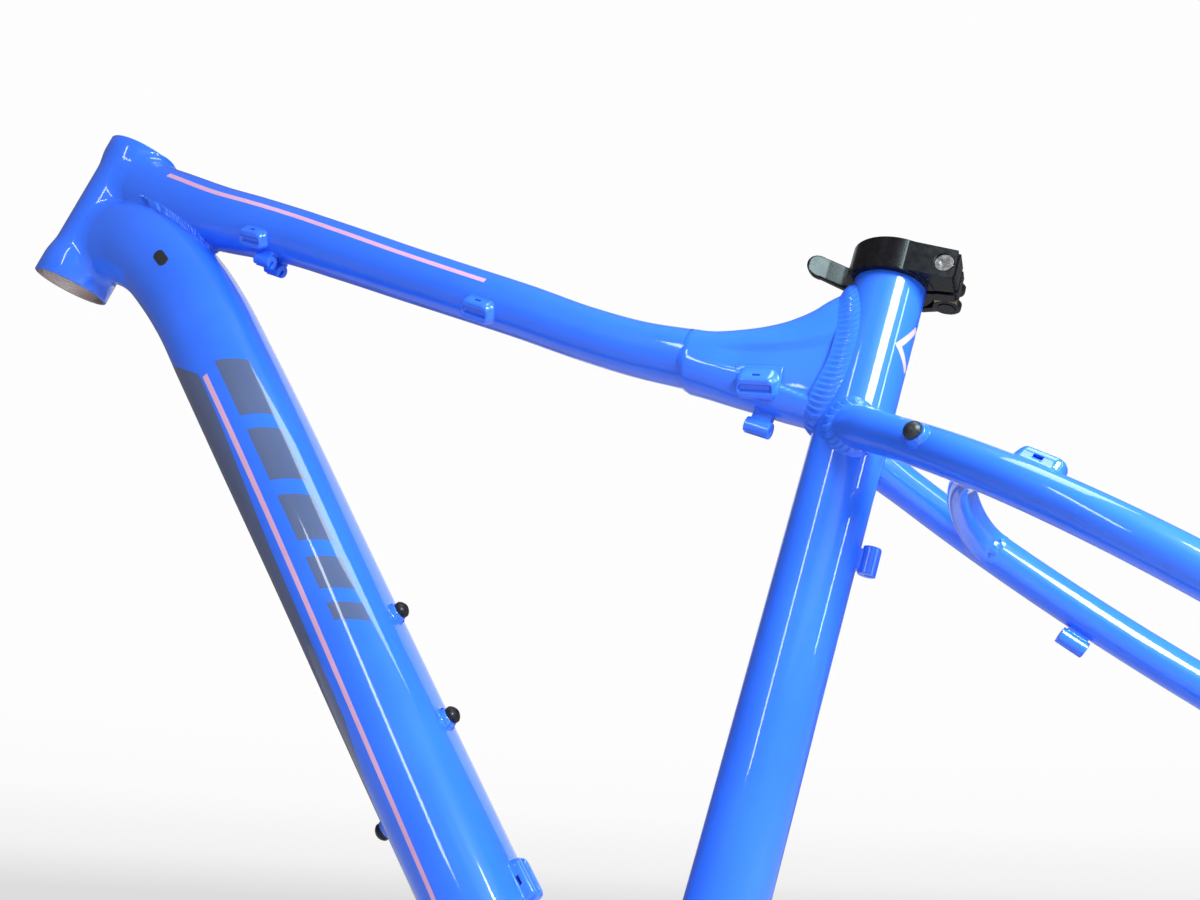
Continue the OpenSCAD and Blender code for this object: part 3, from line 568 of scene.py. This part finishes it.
chain_cut = {}
for side, word in ((1, "left"), (-1, "right")):
    stay, chain = stays[side], chains[side]
    stay_ang = np.arange(144) * 2.5
    top_cut = crossing(stay, stay_ang, out_of_seat, 0, 60, -0.6)
    tube_object("seat_stay_%s_skin" % word, stay, top_cut, stay.length, BLUE, 144)
    chain_cut[side] = crossing(chain, ang, out_of_shell, 0, 60)
    front_cut = crossing(chain, stay_ang, out_of_shell, 0, 60, -1.0)
    tube_object("chain_stay_%s_skin" % word, chain, front_cut, chain.length, BLUE, 144)


# ---------------------------------------------------------------- round parts
def lathe(name, profile, base, axis, mat):
    """A turned shape: the profile's (along, radius) points swept round an axis."""
    segs = 192
    axis = unit(np.asarray(axis, float))
    ref = unit(np.cross(axis, [0.0, 1.0, 0.0])) if abs(axis[1]) < 0.9 else np.array([1.0, 0, 0])
    other = np.cross(axis, ref)
    verts = []
    for along, r in profile:
        for k in range(segs):
            t = 2 * math.pi * k / segs
            verts.append(base + axis * along + (ref * math.cos(t) + other * math.sin(t)) * r)
    o = to_object(name, np.array(verts), grid_faces(len(profile), segs), mat)
    fix_normals(o)
    return o


# head tube: outside with its edges broken, and the bore with a wider cup at each end
outside = [(0.0, 22.9), (0.0, 23.8), (0.15, 24.2), (0.6, HEAD_R)]
outside += HEAD_PROFILE[1:-1] + [(HEAD_LEN - along, r) for along, r in outside[::-1]]
lathe("head_tube_skin", outside, HEAD_BASE, HEAD_DIR, BLUE)
cup_depth, cup_r, bore_r = 15.0, 22.0, 19.5
bore = [(0.0, 22.9), (0.05, 22.5), (0.5, cup_r), (cup_depth, cup_r), (cup_depth, bore_r)]
bore += [(HEAD_LEN - along, r) for along, r in bore[::-1]]
lathe("head_tube_bore", bore, HEAD_BASE, HEAD_DIR, ALLOY)

# seat tube: outside cut by the shell, rolled rim, reamed bore and the slot at its back
seat_rows = [(*(SEAT_DIR * t), SEAT_R, SEAT_R) for t in (0, 108, 216, 324, SEAT_LEN - 0.5)]
seat_tube = Tube(seat_rows)
s_low = crossing(seat_tube, ang, out_of_shell, 0, 60, -1.0)
s_weld = crossing(seat_tube, ang, out_of_shell, 0, 60)
seat_rings = [seat_tube.at(s_low + (seat_tube.length - s_low) * t, ang) for t in np.linspace(0, 1, 90)]
post_r = 15.8
rim_and_bore = [(SEAT_LEN - 0.15, 17.3), (SEAT_LEN, 17.0), (SEAT_LEN, 16.2), (SEAT_LEN - 0.2, post_r),
                (397, post_r), (232, post_r), (231, 15.3), (62, 15.3)]
for along, r in rim_and_bore:
    seat_rings.append(SEAT_DIR * along + FORWARD * (np.sin(np.radians(ang)) * r)[:, None]
                      + LEFT * (np.cos(np.radians(ang)) * r)[:, None])
seat = to_object("seat_tube_skin", np.concatenate(seat_rings), grid_faces(len(seat_rings), COLS), BLUE)
fix_normals(seat)


def cut(target, name, verts, faces):
    """Takes a closed shape out of a piece."""
    me = bpy.data.meshes.new(name)
    me.from_pydata([tuple(v * MM) for v in np.asarray(verts)], [], faces)
    k = bpy.data.objects.new(name, me)
    bpy.context.scene.collection.objects.link(k)
    fix_normals(k)
    m = target.modifiers.new("cut", "BOOLEAN")
    m.object, m.operation, m.solver = k, "DIFFERENCE", "EXACT"
    m.use_self = False
    bpy.context.view_layer.update()
    new = bpy.data.meshes.new_from_object(target.evaluated_get(bpy.context.evaluated_depsgraph_get()))
    target.modifiers.clear()
    target.data = new
    bpy.data.objects.remove(k)


def prism(outline, origin, x_dir, y_dir, z_dir, z0, z1):
    """Points and faces of a flat outline drawn out from z0 to z1."""
    n = len(outline)
    verts = [origin + x_dir * x + y_dir * y + z_dir * z for z in (z0, z1) for x, y in outline]
    faces = [tuple(range(n))[::-1], tuple(range(n, 2 * n))]
    faces += [(i, (i + 1) % n, n + (i + 1) % n, n + i) for i in range(n)]
    return np.array(verts), faces


slot_half, slot_depth, hole_r = 1.3, 34, 2.5
slot_outline = [(slot_half, 40), (-slot_half, 40), (-slot_half, 2.1)]
slot_outline += [(hole_r * math.sin(math.radians(t)), hole_r * -math.cos(math.radians(t)))
                 for t in range(-148, 149, 8)]
slot_outline += [(slot_half, 2.1)]
slot_base = SEAT_DIR * (SEAT_LEN - slot_depth)
cut(seat, "slot_cutter", *prism(slot_outline, slot_base, LEFT, SEAT_DIR, FORWARD, -24, -8))

# bottom bracket shell with its threads
shell_profile = [(-36.1, 17.9), (-36.5, 18.3), (-36.5, 19.6), (-36.1, SHELL_R)]
shell_profile += [(-36.1 + 72.2 * k / 12, SHELL_R) for k in range(1, 12)]
shell_profile += [(36.1, SHELL_R), (36.5, 19.6), (36.5, 18.3), (36.1, 17.9)]
thread_step, thread_r, thread_depth = 0.5, 17.4, 0.42
thread = [(36.0 - thread_step * k, thread_r + (thread_depth if k % 2 else 0.0)) for k in range(54)]
shell_profile += thread + [(8.6, 18.2), (-8.6, 18.2)] + [(-t, r) for t, r in thread[::-1]]
shell_profile += [(-36.1, 17.9)]
lathe("bottom_bracket_skin", shell_profile, np.zeros(3), LEFT, BLUE)


# ---------------------------------------------------------------- bridge between the seat stays
BRIDGE_RISE = np.array([0.8, 0, 0.6])


class Bridge(Tube):
    """Arc between the stays whose sections stand across it, their long side along the stays."""

    def frames(self, s):
        s = np.atleast_1d(np.asarray(s, float))
        c = self.row(self.u_of(s))
        q0 = self.row(self.u_of(np.clip(s - 0.6, 0, self.length)))[:, :3]
        q1 = self.row(self.u_of(np.clip(s + 0.6, 0, self.length)))[:, :3]
        t = unit(q1 - q0)
        wide = np.broadcast_to(unit(np.cross(BRIDGE_RISE, LEFT)), t.shape)
        return c, t, unit(np.cross(wide, t)), wide


bridge_rows = []
for k in range(15):
    x = -1 + k / 7
    mid = np.array([-155.0, -52 * math.sin(math.pi / 2 * x), 280.0])
    bridge_rows.append((*(mid + BRIDGE_RISE * 15 * math.cos(math.pi / 2 * x)), 5.0, 8.6))
bridge = Bridge(bridge_rows)
b_cols = np.arange(96) * 3.75
mid_s = bridge.length / 2
ends = {}
for side in (1, -1):
    far = 0.0 if bridge.at(0, 0)[0][1] * side > 0 else bridge.length
    ends[side] = (crossing(bridge, b_cols, stays[side].inside, far, mid_s),
                crossing(bridge, b_cols, stays[side].inside, far, mid_s, -1.0), far)
tube_object("seat_stay_bridge_skin", bridge, ends[1][1], ends[-1][1], BLUE, 96, 1.6)

# ---------------------------------------------------------------- welds
fine = np.arange(720) * 0.5
d_fine = crossing(down_tube, fine, out_of_front, 0, 190)
y_fine = crossing(yoke, fine, out_of_seat, yoke.length, yoke.length - 60)
near_top = top_tube.inside(down_tube.at(d_fine, fine)) - out_of_head(down_tube.at(d_fine, fine))
beaded = smoothstep(3.0, -3.0, near_top)
weld("weld_top_to_head", top_tube, out_of_head, ang, t_head, 1, 8, 6.5, BLUE, bulge=0.35, ripple=0.10)
weld("weld_down_to_front", down_tube, out_of_front, fine, d_fine, 1, 7.0, 5.5 + 1.0 * beaded, BLUE,
     bulge=0.2 + 2.2 * beaded, ripple=0.03 + 1.4 * beaded, pitch=3.2, segs=18)
weld("weld_yoke_to_seat_tube", yoke, out_of_seat, fine, y_fine, -1,
     4.6 + 3.6 * np.cos(np.radians(fine)) ** 2, 4.2, BLUE, bulge=1.45, ripple=1.0, pitch=3.2, segs=20)
weld("weld_down_to_shell", down_tube, out_of_shell, ang, d_shell, -1, 3.6, 3.4, BLUE,
     bulge=0.9, ripple=0.6)
weld("weld_seat_tube_to_shell", seat_tube, out_of_shell, ang, s_weld, 1, 3.4, 3.2, BLUE,
     bulge=0.9, ripple=0.6)
for side, word in ((1, "left"), (-1, "right")):
    s_fine = crossing(stays[side], fine[::2], out_of_seat, 0, 60)
    weld("weld_seat_stay_%s" % word, stays[side], out_of_seat, fine[::2], s_fine, 1, 4.6, 4.6, BLUE,
         bulge=1.8, ripple=0.8, pitch=2.9, segs=16)
    weld("weld_chain_stay_%s" % word, chains[side], out_of_shell, ang, chain_cut[side], 1, 3.2, 3.2, BLUE,
         bulge=0.9, ripple=0.6)
    edge, _, end = ends[side]
    weld("weld_bridge_%s" % word, bridge, stays[side].inside, b_cols, edge, 1 if end == 0 else -1,
         3.0, 2.8, BLUE, bulge=1.2, ripple=0.4)


# ---------------------------------------------------------------- fillets at the small fittings
def spot(tube, s, angle):
    """Axis point, tangent, across and out of a place on a tube, as the CAD sets its fittings."""
    c, t, up, side = tube.frames(s)
    out = side[0] * math.cos(math.radians(angle)) + up[0] * math.sin(math.radians(angle))
    return c[0, :3], t[0], np.cross(out, t[0]), out


def rounded_rect(l, w, r, n=7):
    """Outline of a rectangle l by w with corners of radius r, n points to a corner."""
    pts = []
    for cx, cy, a0 in ((1, 1, 0), (-1, 1, 90), (-1, -1, 180), (1, -1, 270)):
        for k in range(n):
            t = math.radians(a0 + 90 * k / (n - 1))
            pts.append((cx * (l / 2 - r) + r * math.cos(t), cy * (w / 2 - r) + r * math.sin(t)))
    return np.array(pts)


def skirt(name, place, fn, outline, height, spread, reach, mat, shift=0.0):
    """Concave fillet from the walls of a fitting down to the tube it stands on."""
    tuck = 0.35
    p, t, across, out = place
    size = np.linalg.norm(outline, axis=1, keepdims=True)
    outer = outline * (1 + spread / size)
    def on_tube(xy):
        q = p + out * reach + t * xy[:, :1] + across * (xy[:, 1:] + shift)
        return nearest_on(fn, q)
    foot, far = on_tube(outline * (1 - tuck / size)), on_tube(outer)
    top = foot + out * height
    n_mid = slope(fn, far)
    rings = []
    for i in range(8):
        k = i / 7
        rings.append((1 - k) ** 2 * top + 2 * k * (1 - k) * foot + k * k * (far - n_mid * 0.05))
    o = to_object(name, np.concatenate(rings), grid_faces(8, len(outline)), mat)
    fix_normals(o)
    return o


STOP = rounded_rect(10.4, 5.2, 1.2)


def down_s(d):
    """Arc length on the down tube at distance d from the bottom bracket."""
    return down_tube.length - d


def on_bend(stay, t):
    """Arc length at share t of a seat stay's bend, which starts at its third station."""
    return stay.s_of(2 + BEND_STEPS * t)


def circle(r):
    turn = np.radians(np.arange(0, 360, 8))
    return np.stack([r * np.cos(turn), r * np.sin(turn)], 1)


for shift, word in ((-5.4, "left"), (5.4, "right")):
    skirt("fillet_stop_front_%s" % word, spot(top_tube, top_tube.s_of(4.05), -90), top_tube.inside, STOP,
          0.9, 0.9, 19, BLUE, shift)
skirt("fillet_stop_seat_tube", spot(seat_tube, 281, -90), out_of_seat, STOP, 0.9, 0.9, SEAT_R, BLUE)
skirt("fillet_stop_seat_stay", spot(stays[-1], on_bend(stays[-1], 0.657), -90), stays[-1].inside, STOP,
      0.9, 0.9, STAY_R, BLUE)
for name, d, angle, r in (("bottle_boss_lower", 221.5, 90, 24), ("bottle_boss_upper", 285.5, 90, 25),
                          ("under_boss", 194, -90, 24)):
    skirt("fillet_" + name, spot(down_tube, down_s(d), angle), down_tube.inside, circle(6.1),
          1.2, 1.7, r, BLUE)
for side, word in ((1, "left"), (-1, "right")):
    stay = stays[side]
    skirt("fillet_rack_boss_%s" % word, spot(stay, on_bend(stay, 0.12), 0 if side > 0 else 180),
          stay.inside, circle(5.4), 1.1, 1.3, STAY_R, BLUE)


# ---------------------------------------------------------------- fittings with their edges rounded off
def copy_of(node, name, mat, body):
    """A cleaned, smooth-shaded copy of a CAD node in the node's place."""
    src = NODES[node]
    o = bpy.data.objects.new(name, src.data.copy())
    bpy.context.scene.collection.objects.link(o)
    bpy.context.view_layer.update()
    o.matrix_world = src.matrix_world.copy()
    bm = bmesh.new()
    bm.from_mesh(o.data)
    bmesh.ops.remove_doubles(bm, verts=bm.verts, dist=2e-6)
    bmesh.ops.dissolve_limit(bm, angle_limit=math.radians(0.4), verts=bm.verts, edges=bm.edges)
    for f in bm.faces:
        f.smooth = True
    bm.to_mesh(o.data)
    bm.free()
    if o.data.has_custom_normals:
        bpy.context.view_layer.objects.active = o
        with bpy.context.temp_override(object=o, active_object=o, selected_objects=[o]):
            bpy.ops.mesh.customdata_custom_splitnormals_clear()
    o.data.materials.clear()
    o.data.materials.append(mat)
    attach(o, body)
    return o


def baked(o):
    """Turns a piece's modifiers into its mesh."""
    bpy.context.view_layer.update()
    new = bpy.data.meshes.new_from_object(o.evaluated_get(bpy.context.evaluated_depsgraph_get()))
    o.modifiers.clear()
    o.data = new


def cast(node, mat, body="frame", voxel=0.3, rounds=5):
    """The node's shape with every edge melted round, as a welded and painted casting."""
    o = copy_of(node, node + "_shape", mat, body)
    r = o.modifiers.new("remesh", "REMESH")
    r.mode, r.voxel_size, r.use_smooth_shade = "VOXEL", voxel * MM, True
    k = o.modifiers.new("smooth", "SMOOTH")
    k.factor, k.iterations = 0.5, rounds
    baked(o)
    o.data.polygons.foreach_set("use_smooth", [True] * len(o.data.polygons))
    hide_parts(node)
    return o


def machined(node, mat, body, edge):
    """The node's shape with a small round on its sharp edges."""
    o = copy_of(node, node + "_shape", mat, body)
    b = o.modifiers.new("round", "BEVEL")
    b.width, b.segments = edge * MM, 3
    b.limit_method, b.angle_limit = "ANGLE", math.radians(38)
    b.use_clamp_overlap = True
    b.harden_normals = False
    w = o.modifiers.new("normals", "WEIGHTED_NORMAL")
    w.keep_sharp = False
    baked(o)
    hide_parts(node)
    return o


def loaf(node, tube, s_mid, angle, length, width):
    """A hose guide: a rounded block with a trough between two lips and a slot for the tie through it."""
    corner = 4.2
    p, t, across, out = spot(tube, s_mid, angle)
    m, n, foot_w = 61, 41, 1.3
    xs = np.linspace(-1, 1, m) * (length / 2 + foot_w)
    ys = np.linspace(-1, 1, n) * (width / 2 + foot_w)
    section = angle + np.linspace(-75, 75, 121)
    under = []
    for x in xs:
        q = tube.at(s_mid + x, section) - p
        order = np.argsort(q @ across)
        under.append(np.interp(ys, (q @ across)[order], (q @ out)[order]))
    under = np.array(under)
    x, y = np.meshgrid(xs, ys, indexing="ij")
    dx = np.maximum(np.abs(x) - (length / 2 - corner), 0)
    dy = np.maximum(np.abs(y) - (width / 2 - corner), 0)
    edge = corner - np.hypot(dx, dy)
    shoulder = np.sqrt(np.clip(1 - (1 - np.clip(edge / 2.0, 0, 1)) ** 2, 0, 1))
    fillet = 0.8 * (np.clip(edge + foot_w, 0, foot_w) / foot_w) ** 2
    trough = smoothstep(2.3, 1.1, np.abs(y)) * smoothstep(length / 2 - 1.4, length / 2 - 3.4, np.abs(x))
    level = under[m // 2, n // 2] + 4.9 - 2.1 * trough
    height = under + fillet + (level - under - fillet) * shoulder - 0.05
    top = p + x.reshape(-1, 1) * t + y.reshape(-1, 1) * across + height.reshape(-1, 1) * out
    rim = [i * n for i in range(m)] + [(m - 1) * n + k for k in range(1, n)]
    rim += [i * n + n - 1 for i in range(m - 2, -1, -1)] + list(range(n - 2, 0, -1))
    verts = np.concatenate([top, top[rim] - out * 1.5])
    faces, count = grid_faces(m, n, False), len(rim)
    faces += [(rim[k], rim[(k + 1) % count], m * n + (k + 1) % count, m * n + k) for k in range(count)]
    faces.append(tuple(m * n + k for k in range(count))[::-1])
    o = to_object(node + "_shape", verts, faces, BLUE)
    fix_normals(o)
    middle = p + out * (under[m // 2, n // 2] + 1.1)
    cut(o, node + "_slit", *prism(rounded_rect(4.4, 1.5, 0.5, 5), middle, t, out, across, -width, width))
    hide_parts(node)


loaf("hose_guide_front", top_tube, top_tube.s_of(3.7), -45, 20.5, 12.4)
loaf("hose_guide_middle", top_tube, top_tube.s_of(7.5), -45, 20.5, 12.4)
loaf("hose_guide_rear", yoke, yoke.s_of(4.0), -48, 20.5, 12.4)
loaf("hose_guide_seat_stay", stays[1], on_bend(stays[1], 0.44), 97, 20.5, 10.4)
loaf("hose_guide_down_tube", down_tube, down_s(136), 88, 20.5, 12.4)
for node in ("cable_stop_front_left", "cable_stop_front_right", "cable_stop_rear", "cable_stop_seat_tube",
             "cable_stop_seat_stay"):
    cast(node, BLUE, voxel=0.18, rounds=9)
for node in ("bottle_bosses", "under_boss", "rack_boss_left", "rack_boss_right"):
    cast(node, BLUE, voxel=0.3, rounds=4)
cast("rack_boss_cap_left", RUBBER, voxel=0.22, rounds=4)
cast("rack_boss_cap_right", RUBBER, voxel=0.22, rounds=4)
cast("clamp_lever", CLAMP_BLACK, "release_lever", voxel=0.35, rounds=6)
cast("disc_brake_tab", BLUE, voxel=0.4, rounds=5)
cast("derailleur_hanger", ALLOY, voxel=0.4, rounds=3)
cast("dropout_left", BLUE, voxel=0.5, rounds=4)
cast("dropout_right", BLUE, voxel=0.5, rounds=4)


# ---------------------------------------------------------------- graphics and the cable port
def surface_patch(name, tube, s, a, mat, lift=0.045):
    """A painted area: a grid of (s, a) places on a tube, lifted a hair off its skin."""
    s, a = np.asarray(s, float), np.asarray(a, float)
    lift = np.broadcast_to(np.asarray(lift, float), s.shape)
    m, n = s.shape
    verts = tube.at(s.ravel(), a.ravel(), lift.ravel())
    o = to_object(name, verts, grid_faces(m, n, False), mat)
    fix_normals(o)
    mid = len(o.data.polygons) // 2
    f = o.data.polygons[mid]
    centre = tube.frames(float(np.mean(s)))[0][0, :3] * MM
    if (np.array(f.center) - centre) @ np.array(f.normal) < 0:
        o.data.flip_normals()
    return o


def ribbon(name, tube, points, width, mat, steps):
    """A painted line of even width through (s, a) places."""
    pts = np.array(points, float)
    mid = tube.at([np.mean(pts[:, 0])] * 2, [np.mean(pts[:, 1]) - 0.5, np.mean(pts[:, 1]) + 0.5])
    k = np.linalg.norm(mid[1] - mid[0])
    flat = pts * [1, k]
    dense = [flat[0]]
    for a0, a1 in zip(flat[:-1], flat[1:]):
        n = max(2, int(np.linalg.norm(a1 - a0) / steps))
        dense += [a0 + (a1 - a0) * i / n for i in range(1, n + 1)]
    flat = np.array(dense)
    d = np.gradient(flat, axis=0)
    seg = unit(np.diff(flat, axis=0))
    nrm = np.zeros_like(flat)
    for i in range(len(flat)):
        before, after = seg[max(i - 1, 0)], seg[min(i, len(seg) - 1)]
        n0, n1 = np.array([-before[1], before[0]]), np.array([-after[1], after[0]])
        b = unit(n0 + n1)
        nrm[i] = b / max(0.35, b @ n0)
    w = np.linspace(-width / 2, width / 2, 5)
    grid = flat[:, None, :] + nrm[:, None, :] * w[None, :, None]
    return surface_patch(name, tube, grid[:, :, 0], grid[:, :, 1] / k, mat)


def both_sides(points):
    """Places on the left half of a tube, and the same ones mirrored to the right."""
    return {"left": points, "right": [(s, 180 - a) for s, a in points]}


TOP_LINE = (56.0, 332.0)
DOWN_LINE = (197.0, 640.0)
FIELD = (150.0, 492.0)


def share(s, span):
    """How far s is along a span, from 0 at its start to 1 at its end."""
    return np.clip((np.asarray(s, float) - span[0]) / (span[1] - span[0]), 0, 1)


def top_line_angle(s):
    """The line starts high on the side behind the head tube and levels off to the rear."""
    return 17 + 13 * (1 - share(s, TOP_LINE)) ** 1.6


def down_line_angle(s):
    """The line starts just under the side of the tube and sinks faster towards its lower end."""
    return -6 - 21 * share(s, DOWN_LINE) ** 2


def field_angle(s):
    """Edge of the grey field: a widening gap under the line, and a point at either end."""
    edge = down_line_angle(s) - 6 - 10 * smoothstep(200, 350, s)
    nose = share(s, (FIELD[0], FIELD[0] + 43)) ** 0.7
    tail = share(-np.asarray(s, float), (-FIELD[1], -FIELD[1] + 62)) ** 0.42
    return -89 + (edge + 89) * nose * tail


def line_points(span, angle):
    return [(s, float(angle(s))) for s in np.linspace(*span, 12)]


for word, pts in both_sides(line_points(TOP_LINE, top_line_angle)).items():
    ribbon("top_tube_line_%s" % word, top_tube, pts, 3.0, STRIPE_PINK, steps=3)
for word, pts in both_sides(line_points(DOWN_LINE, down_line_angle)).items():
    ribbon("down_tube_line_%s" % word, down_tube, pts, 2.6, STRIPE_PINK, steps=3)
for word, pts in both_sides([(397, -87), (383, -51), (374, -87)]).items():
    ribbon("seat_tube_chevron_%s" % word, seat_tube, pts, 3.0, CHEVRON_PINK, steps=0.8)
# grey field under the down tube, and slanted bars on both sides of it
band_s = np.linspace(*FIELD, 172)
band_a = field_angle(band_s)
band_t = np.linspace(0, 1, 41)
band_grid_a = band_a[:, None] + (-180 - 2 * band_a)[:, None] * band_t[None, :]
band_grid_s = np.repeat(band_s[:, None], 41, axis=1)
surface_patch("down_tube_field", down_tube, band_grid_s, band_grid_a, BAND_GREY, 0.03)
for i, (s0, s1) in enumerate(((197, 243), (254, 293), (304, 336), (347, 368), (377, 388))):
    for word, flip in (("left", False), ("right", True)):
        v = np.linspace(0, 1, 25)[None, :]
        u = np.linspace(0, 1, max(4, int(s1 - s0)))[:, None]
        s_grid = s0 + (s1 - s0) * u + 9 * (v - 0.5)
        a_grid = 8 + 38 * v + 0 * u
        surface_patch("down_tube_bar_%d_%s" % (i + 1, word), down_tube, s_grid,
                      180 - a_grid if flip else a_grid, BAND_GREY)

# cable port: an oval rubber plug
rings_r = [0.0, 0.35, 0.6, 0.8, 0.9, 0.96, 1.0]
rings_z = [0.34, 0.34, 0.34, 0.32, 0.24, 0.08, -0.30]
th = np.radians(np.arange(0, 360, 5))
px = np.array([np.sign(np.cos(th)) * min(1, 3 * r) * 3.7 + 3.8 * r * np.cos(th) for r in rings_r])
py = np.array([3.8 * r * np.sin(th) for r in rings_r])
around = np.linalg.norm(np.diff(down_tube.at([92.2, 92.2], [8.5, 9.5]), axis=0))
port_s, port_a = 92.2 + px, 9 + py / around
port = down_tube.at(port_s.ravel(), port_a.ravel(), np.repeat(rings_z, len(th)))
o = to_object("cable_port_shape", port, grid_faces(len(rings_r), len(th)), RUBBER)
fix_normals(o)
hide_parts("cable_port_plug")

for node in ("top_tube", "seat_yoke", "down_tube", "head_tube", "seat_tube", "seat_stay_bridge",
             "seat_stay_left", "chain_stay_left", "seat_stay_right", "chain_stay_right"):
    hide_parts(node)
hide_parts("bottom_bracket_shell")

# ---------------------------------------------------------------- seat clamp, and CAD nodes that stay
machined("clamp_collar", CLAMP_BLACK, "seat_clamp", 0.55)
machined("clamp_bolt", STEEL, "clamp_screw", 0.25)
machined("clamp_barrel", CLAMP_BLACK, "seat_clamp", 0.3)
machined("clamp_washer", BRASS, "seat_clamp", 0.25)
BOLTS = ("hanger_bolts", "bottle_boss_bolts", "under_boss_bolt")
for name, o in NODES.items():
    o.data.materials.clear()
    o.data.materials.append(BOLT_BLACK if name in BOLTS else BLUE)

# ---------------------------------------------------------------- floor, light, camera
floor_z = CAD_BOX[0][2] - 0.34


def stage_plane(name, size, place, colour):
    bpy.ops.mesh.primitive_plane_add(size=size, location=place)
    o = bpy.context.object
    o.name = name
    m, nt, b = material(name)
    n = noise_node(nt, 3.0, 3.0)
    r = ramp(nt, n.outputs["Fac"], [(0.3, (*[c * 0.97 for c in colour], 1)), (0.7, (*colour, 1))])
    nt.links.new(r.outputs["Color"], b.inputs["Base Color"])
    b.inputs["Roughness"].default_value = 0.9
    o.data.materials.append(m)
    return o


stage_plane("floor", 14, (0, 0, floor_z), (0.74, 0.74, 0.745))

# the studio: a white sweep for the camera, greyed towards the horizon as a painted shadow along the bottom of
# the view, and walls for the paint to mirror, brightest behind the camera
world = bpy.data.worlds.new("studio")
bpy.context.scene.world = world
world.use_nodes = True
wn = world.node_tree
bg = wn.nodes["Background"]
tc = wn.nodes.new("ShaderNodeTexCoord")


def world_dot(direction, stops, low=-1, high=1):
    dot = wn.nodes.new("ShaderNodeVectorMath")
    dot.operation = "DOT_PRODUCT"
    dot.inputs[1].default_value = tuple(unit(direction))
    wn.links.new(tc.outputs["Generated"], dot.inputs[0])
    return ramp(wn, map_range(wn, dot.outputs["Value"], low, high, 0, 1), stops).outputs["Color"]


def grey(v, blue=1.0):
    return (v, v, v * blue, 1)


# camera-only backdrop: white above, darkening to grey at the horizon, a painted shadow along the bottom of
# the view
SWEEP_WITH_PAINTED_SHADOW = [(0.0, grey(0.72)), (0.03, grey(0.88)), (0.08, grey(0.965)), (0.14, grey(0.985)),
         (1.0, grey(0.985))]
WALLS = [(0.0, grey(0.33, 1.05)), (0.35, grey(0.29, 1.06)), (0.62, grey(0.18, 1.1)), (1.0, grey(0.11, 1.1))]
sweep_with_painted_shadow = world_dot([0, 0, 1], SWEEP_WITH_PAINTED_SHADOW, 0, 1)
walls = world_dot([0.335, -0.859, 0.387], WALLS)
mix = wn.nodes.new("ShaderNodeMix")
mix.data_type = "RGBA"
lp = wn.nodes.new("ShaderNodeLightPath")
wn.links.new(lp.outputs["Is Camera Ray"], mix.inputs["Factor"])
wn.links.new(walls, mix.inputs["A"])
wn.links.new(sweep_with_painted_shadow, mix.inputs["B"])
wn.links.new(mix.outputs["Result"], bg.inputs["Color"])
bg.inputs["Strength"].default_value = 1.0


def area(name, place, target, size, power, colour, size_y):
    """A soft light, size wide and size_y high, that the camera can't see."""
    d = bpy.data.lights.new(name, "AREA")
    d.energy, d.color = power, colour
    d.shape = "RECTANGLE"
    d.size, d.size_y = size, size_y
    o = bpy.data.objects.new(name, d)
    bpy.context.scene.collection.objects.link(o)
    o.location = place
    o.rotation_euler = (Vector(target) - Vector(place)).to_track_quat("-Z", "Y").to_euler()
    o.visible_camera = False
    return o


# place and target in metres
area("main_soft", (-0.95, 1.45, 0.80), (-0.08, 0, 0.34), 1.1, 1.5, (0.85, 0.96, 1), 1.1)
area("rear_soft", (-0.65, 0.50, 0.62), (-0.55, 0, 0.30), 0.36, 18, (0.72, 0.97, 1), 0.36)
area("rear_window", (-1.82, 0.455, 0.69), (-0.1, 0, 0.38), 0.12, 9.5, (0.75, 0.96, 1), 1.4)
area("side_window", (0.45, 1.55, 0.85), (0.02, 0, 0.42), 0.12, 4.5, (0.92, 0.98, 1), 0.9)
area("ceiling", (-0.5, 0.25, 1.9), (-0.1, 0, 0.35), 0.9, 10, (0.85, 0.96, 1), 0.5)
area("far_side", (0.5, -2.4, 1.5), (0.0, 0, 0.3), 2.4, 14, (0.9, 0.97, 1), 2.4)

noon = bpy.data.objects.new("noon", bpy.data.lights.new("noon", "SUN"))
noon.data.energy, noon.data.angle = 1.4, math.radians(40)
bpy.context.scene.collection.objects.link(noon)
noon.visible_glossy = False

cam_data = bpy.data.cameras.new("camera")
cam = bpy.data.objects.new("camera", cam_data)
bpy.context.scene.collection.objects.link(cam)
bpy.context.scene.camera = cam
cam_data.sensor_width = 36
cam_data.lens = 32.94
cam_data.clip_start = 0.01
TURN, TILT, ROLL = math.radians(201.3), math.radians(-22.8), math.radians(2.6)
EYE = np.array([-157.2, 479.3, 114.9])
look = np.array([-math.sin(TURN) * math.cos(TILT), math.cos(TURN) * math.cos(TILT), -math.sin(TILT)])
level_right = unit(np.cross(look, [0, 0, 1.0]))
level_up = np.cross(level_right, look)
right = level_right * math.cos(ROLL) + level_up * math.sin(ROLL)
above = -level_right * math.sin(ROLL) + level_up * math.cos(ROLL)
cam.matrix_world = Matrix((
    (right[0], above[0], -look[0], EYE[0] * MM), (right[1], above[1], -look[1], EYE[1] * MM),
    (right[2], above[2], -look[2], EYE[2] * MM), (0, 0, 0, 1)))
bpy.context.scene.view_settings.view_transform = "Standard"
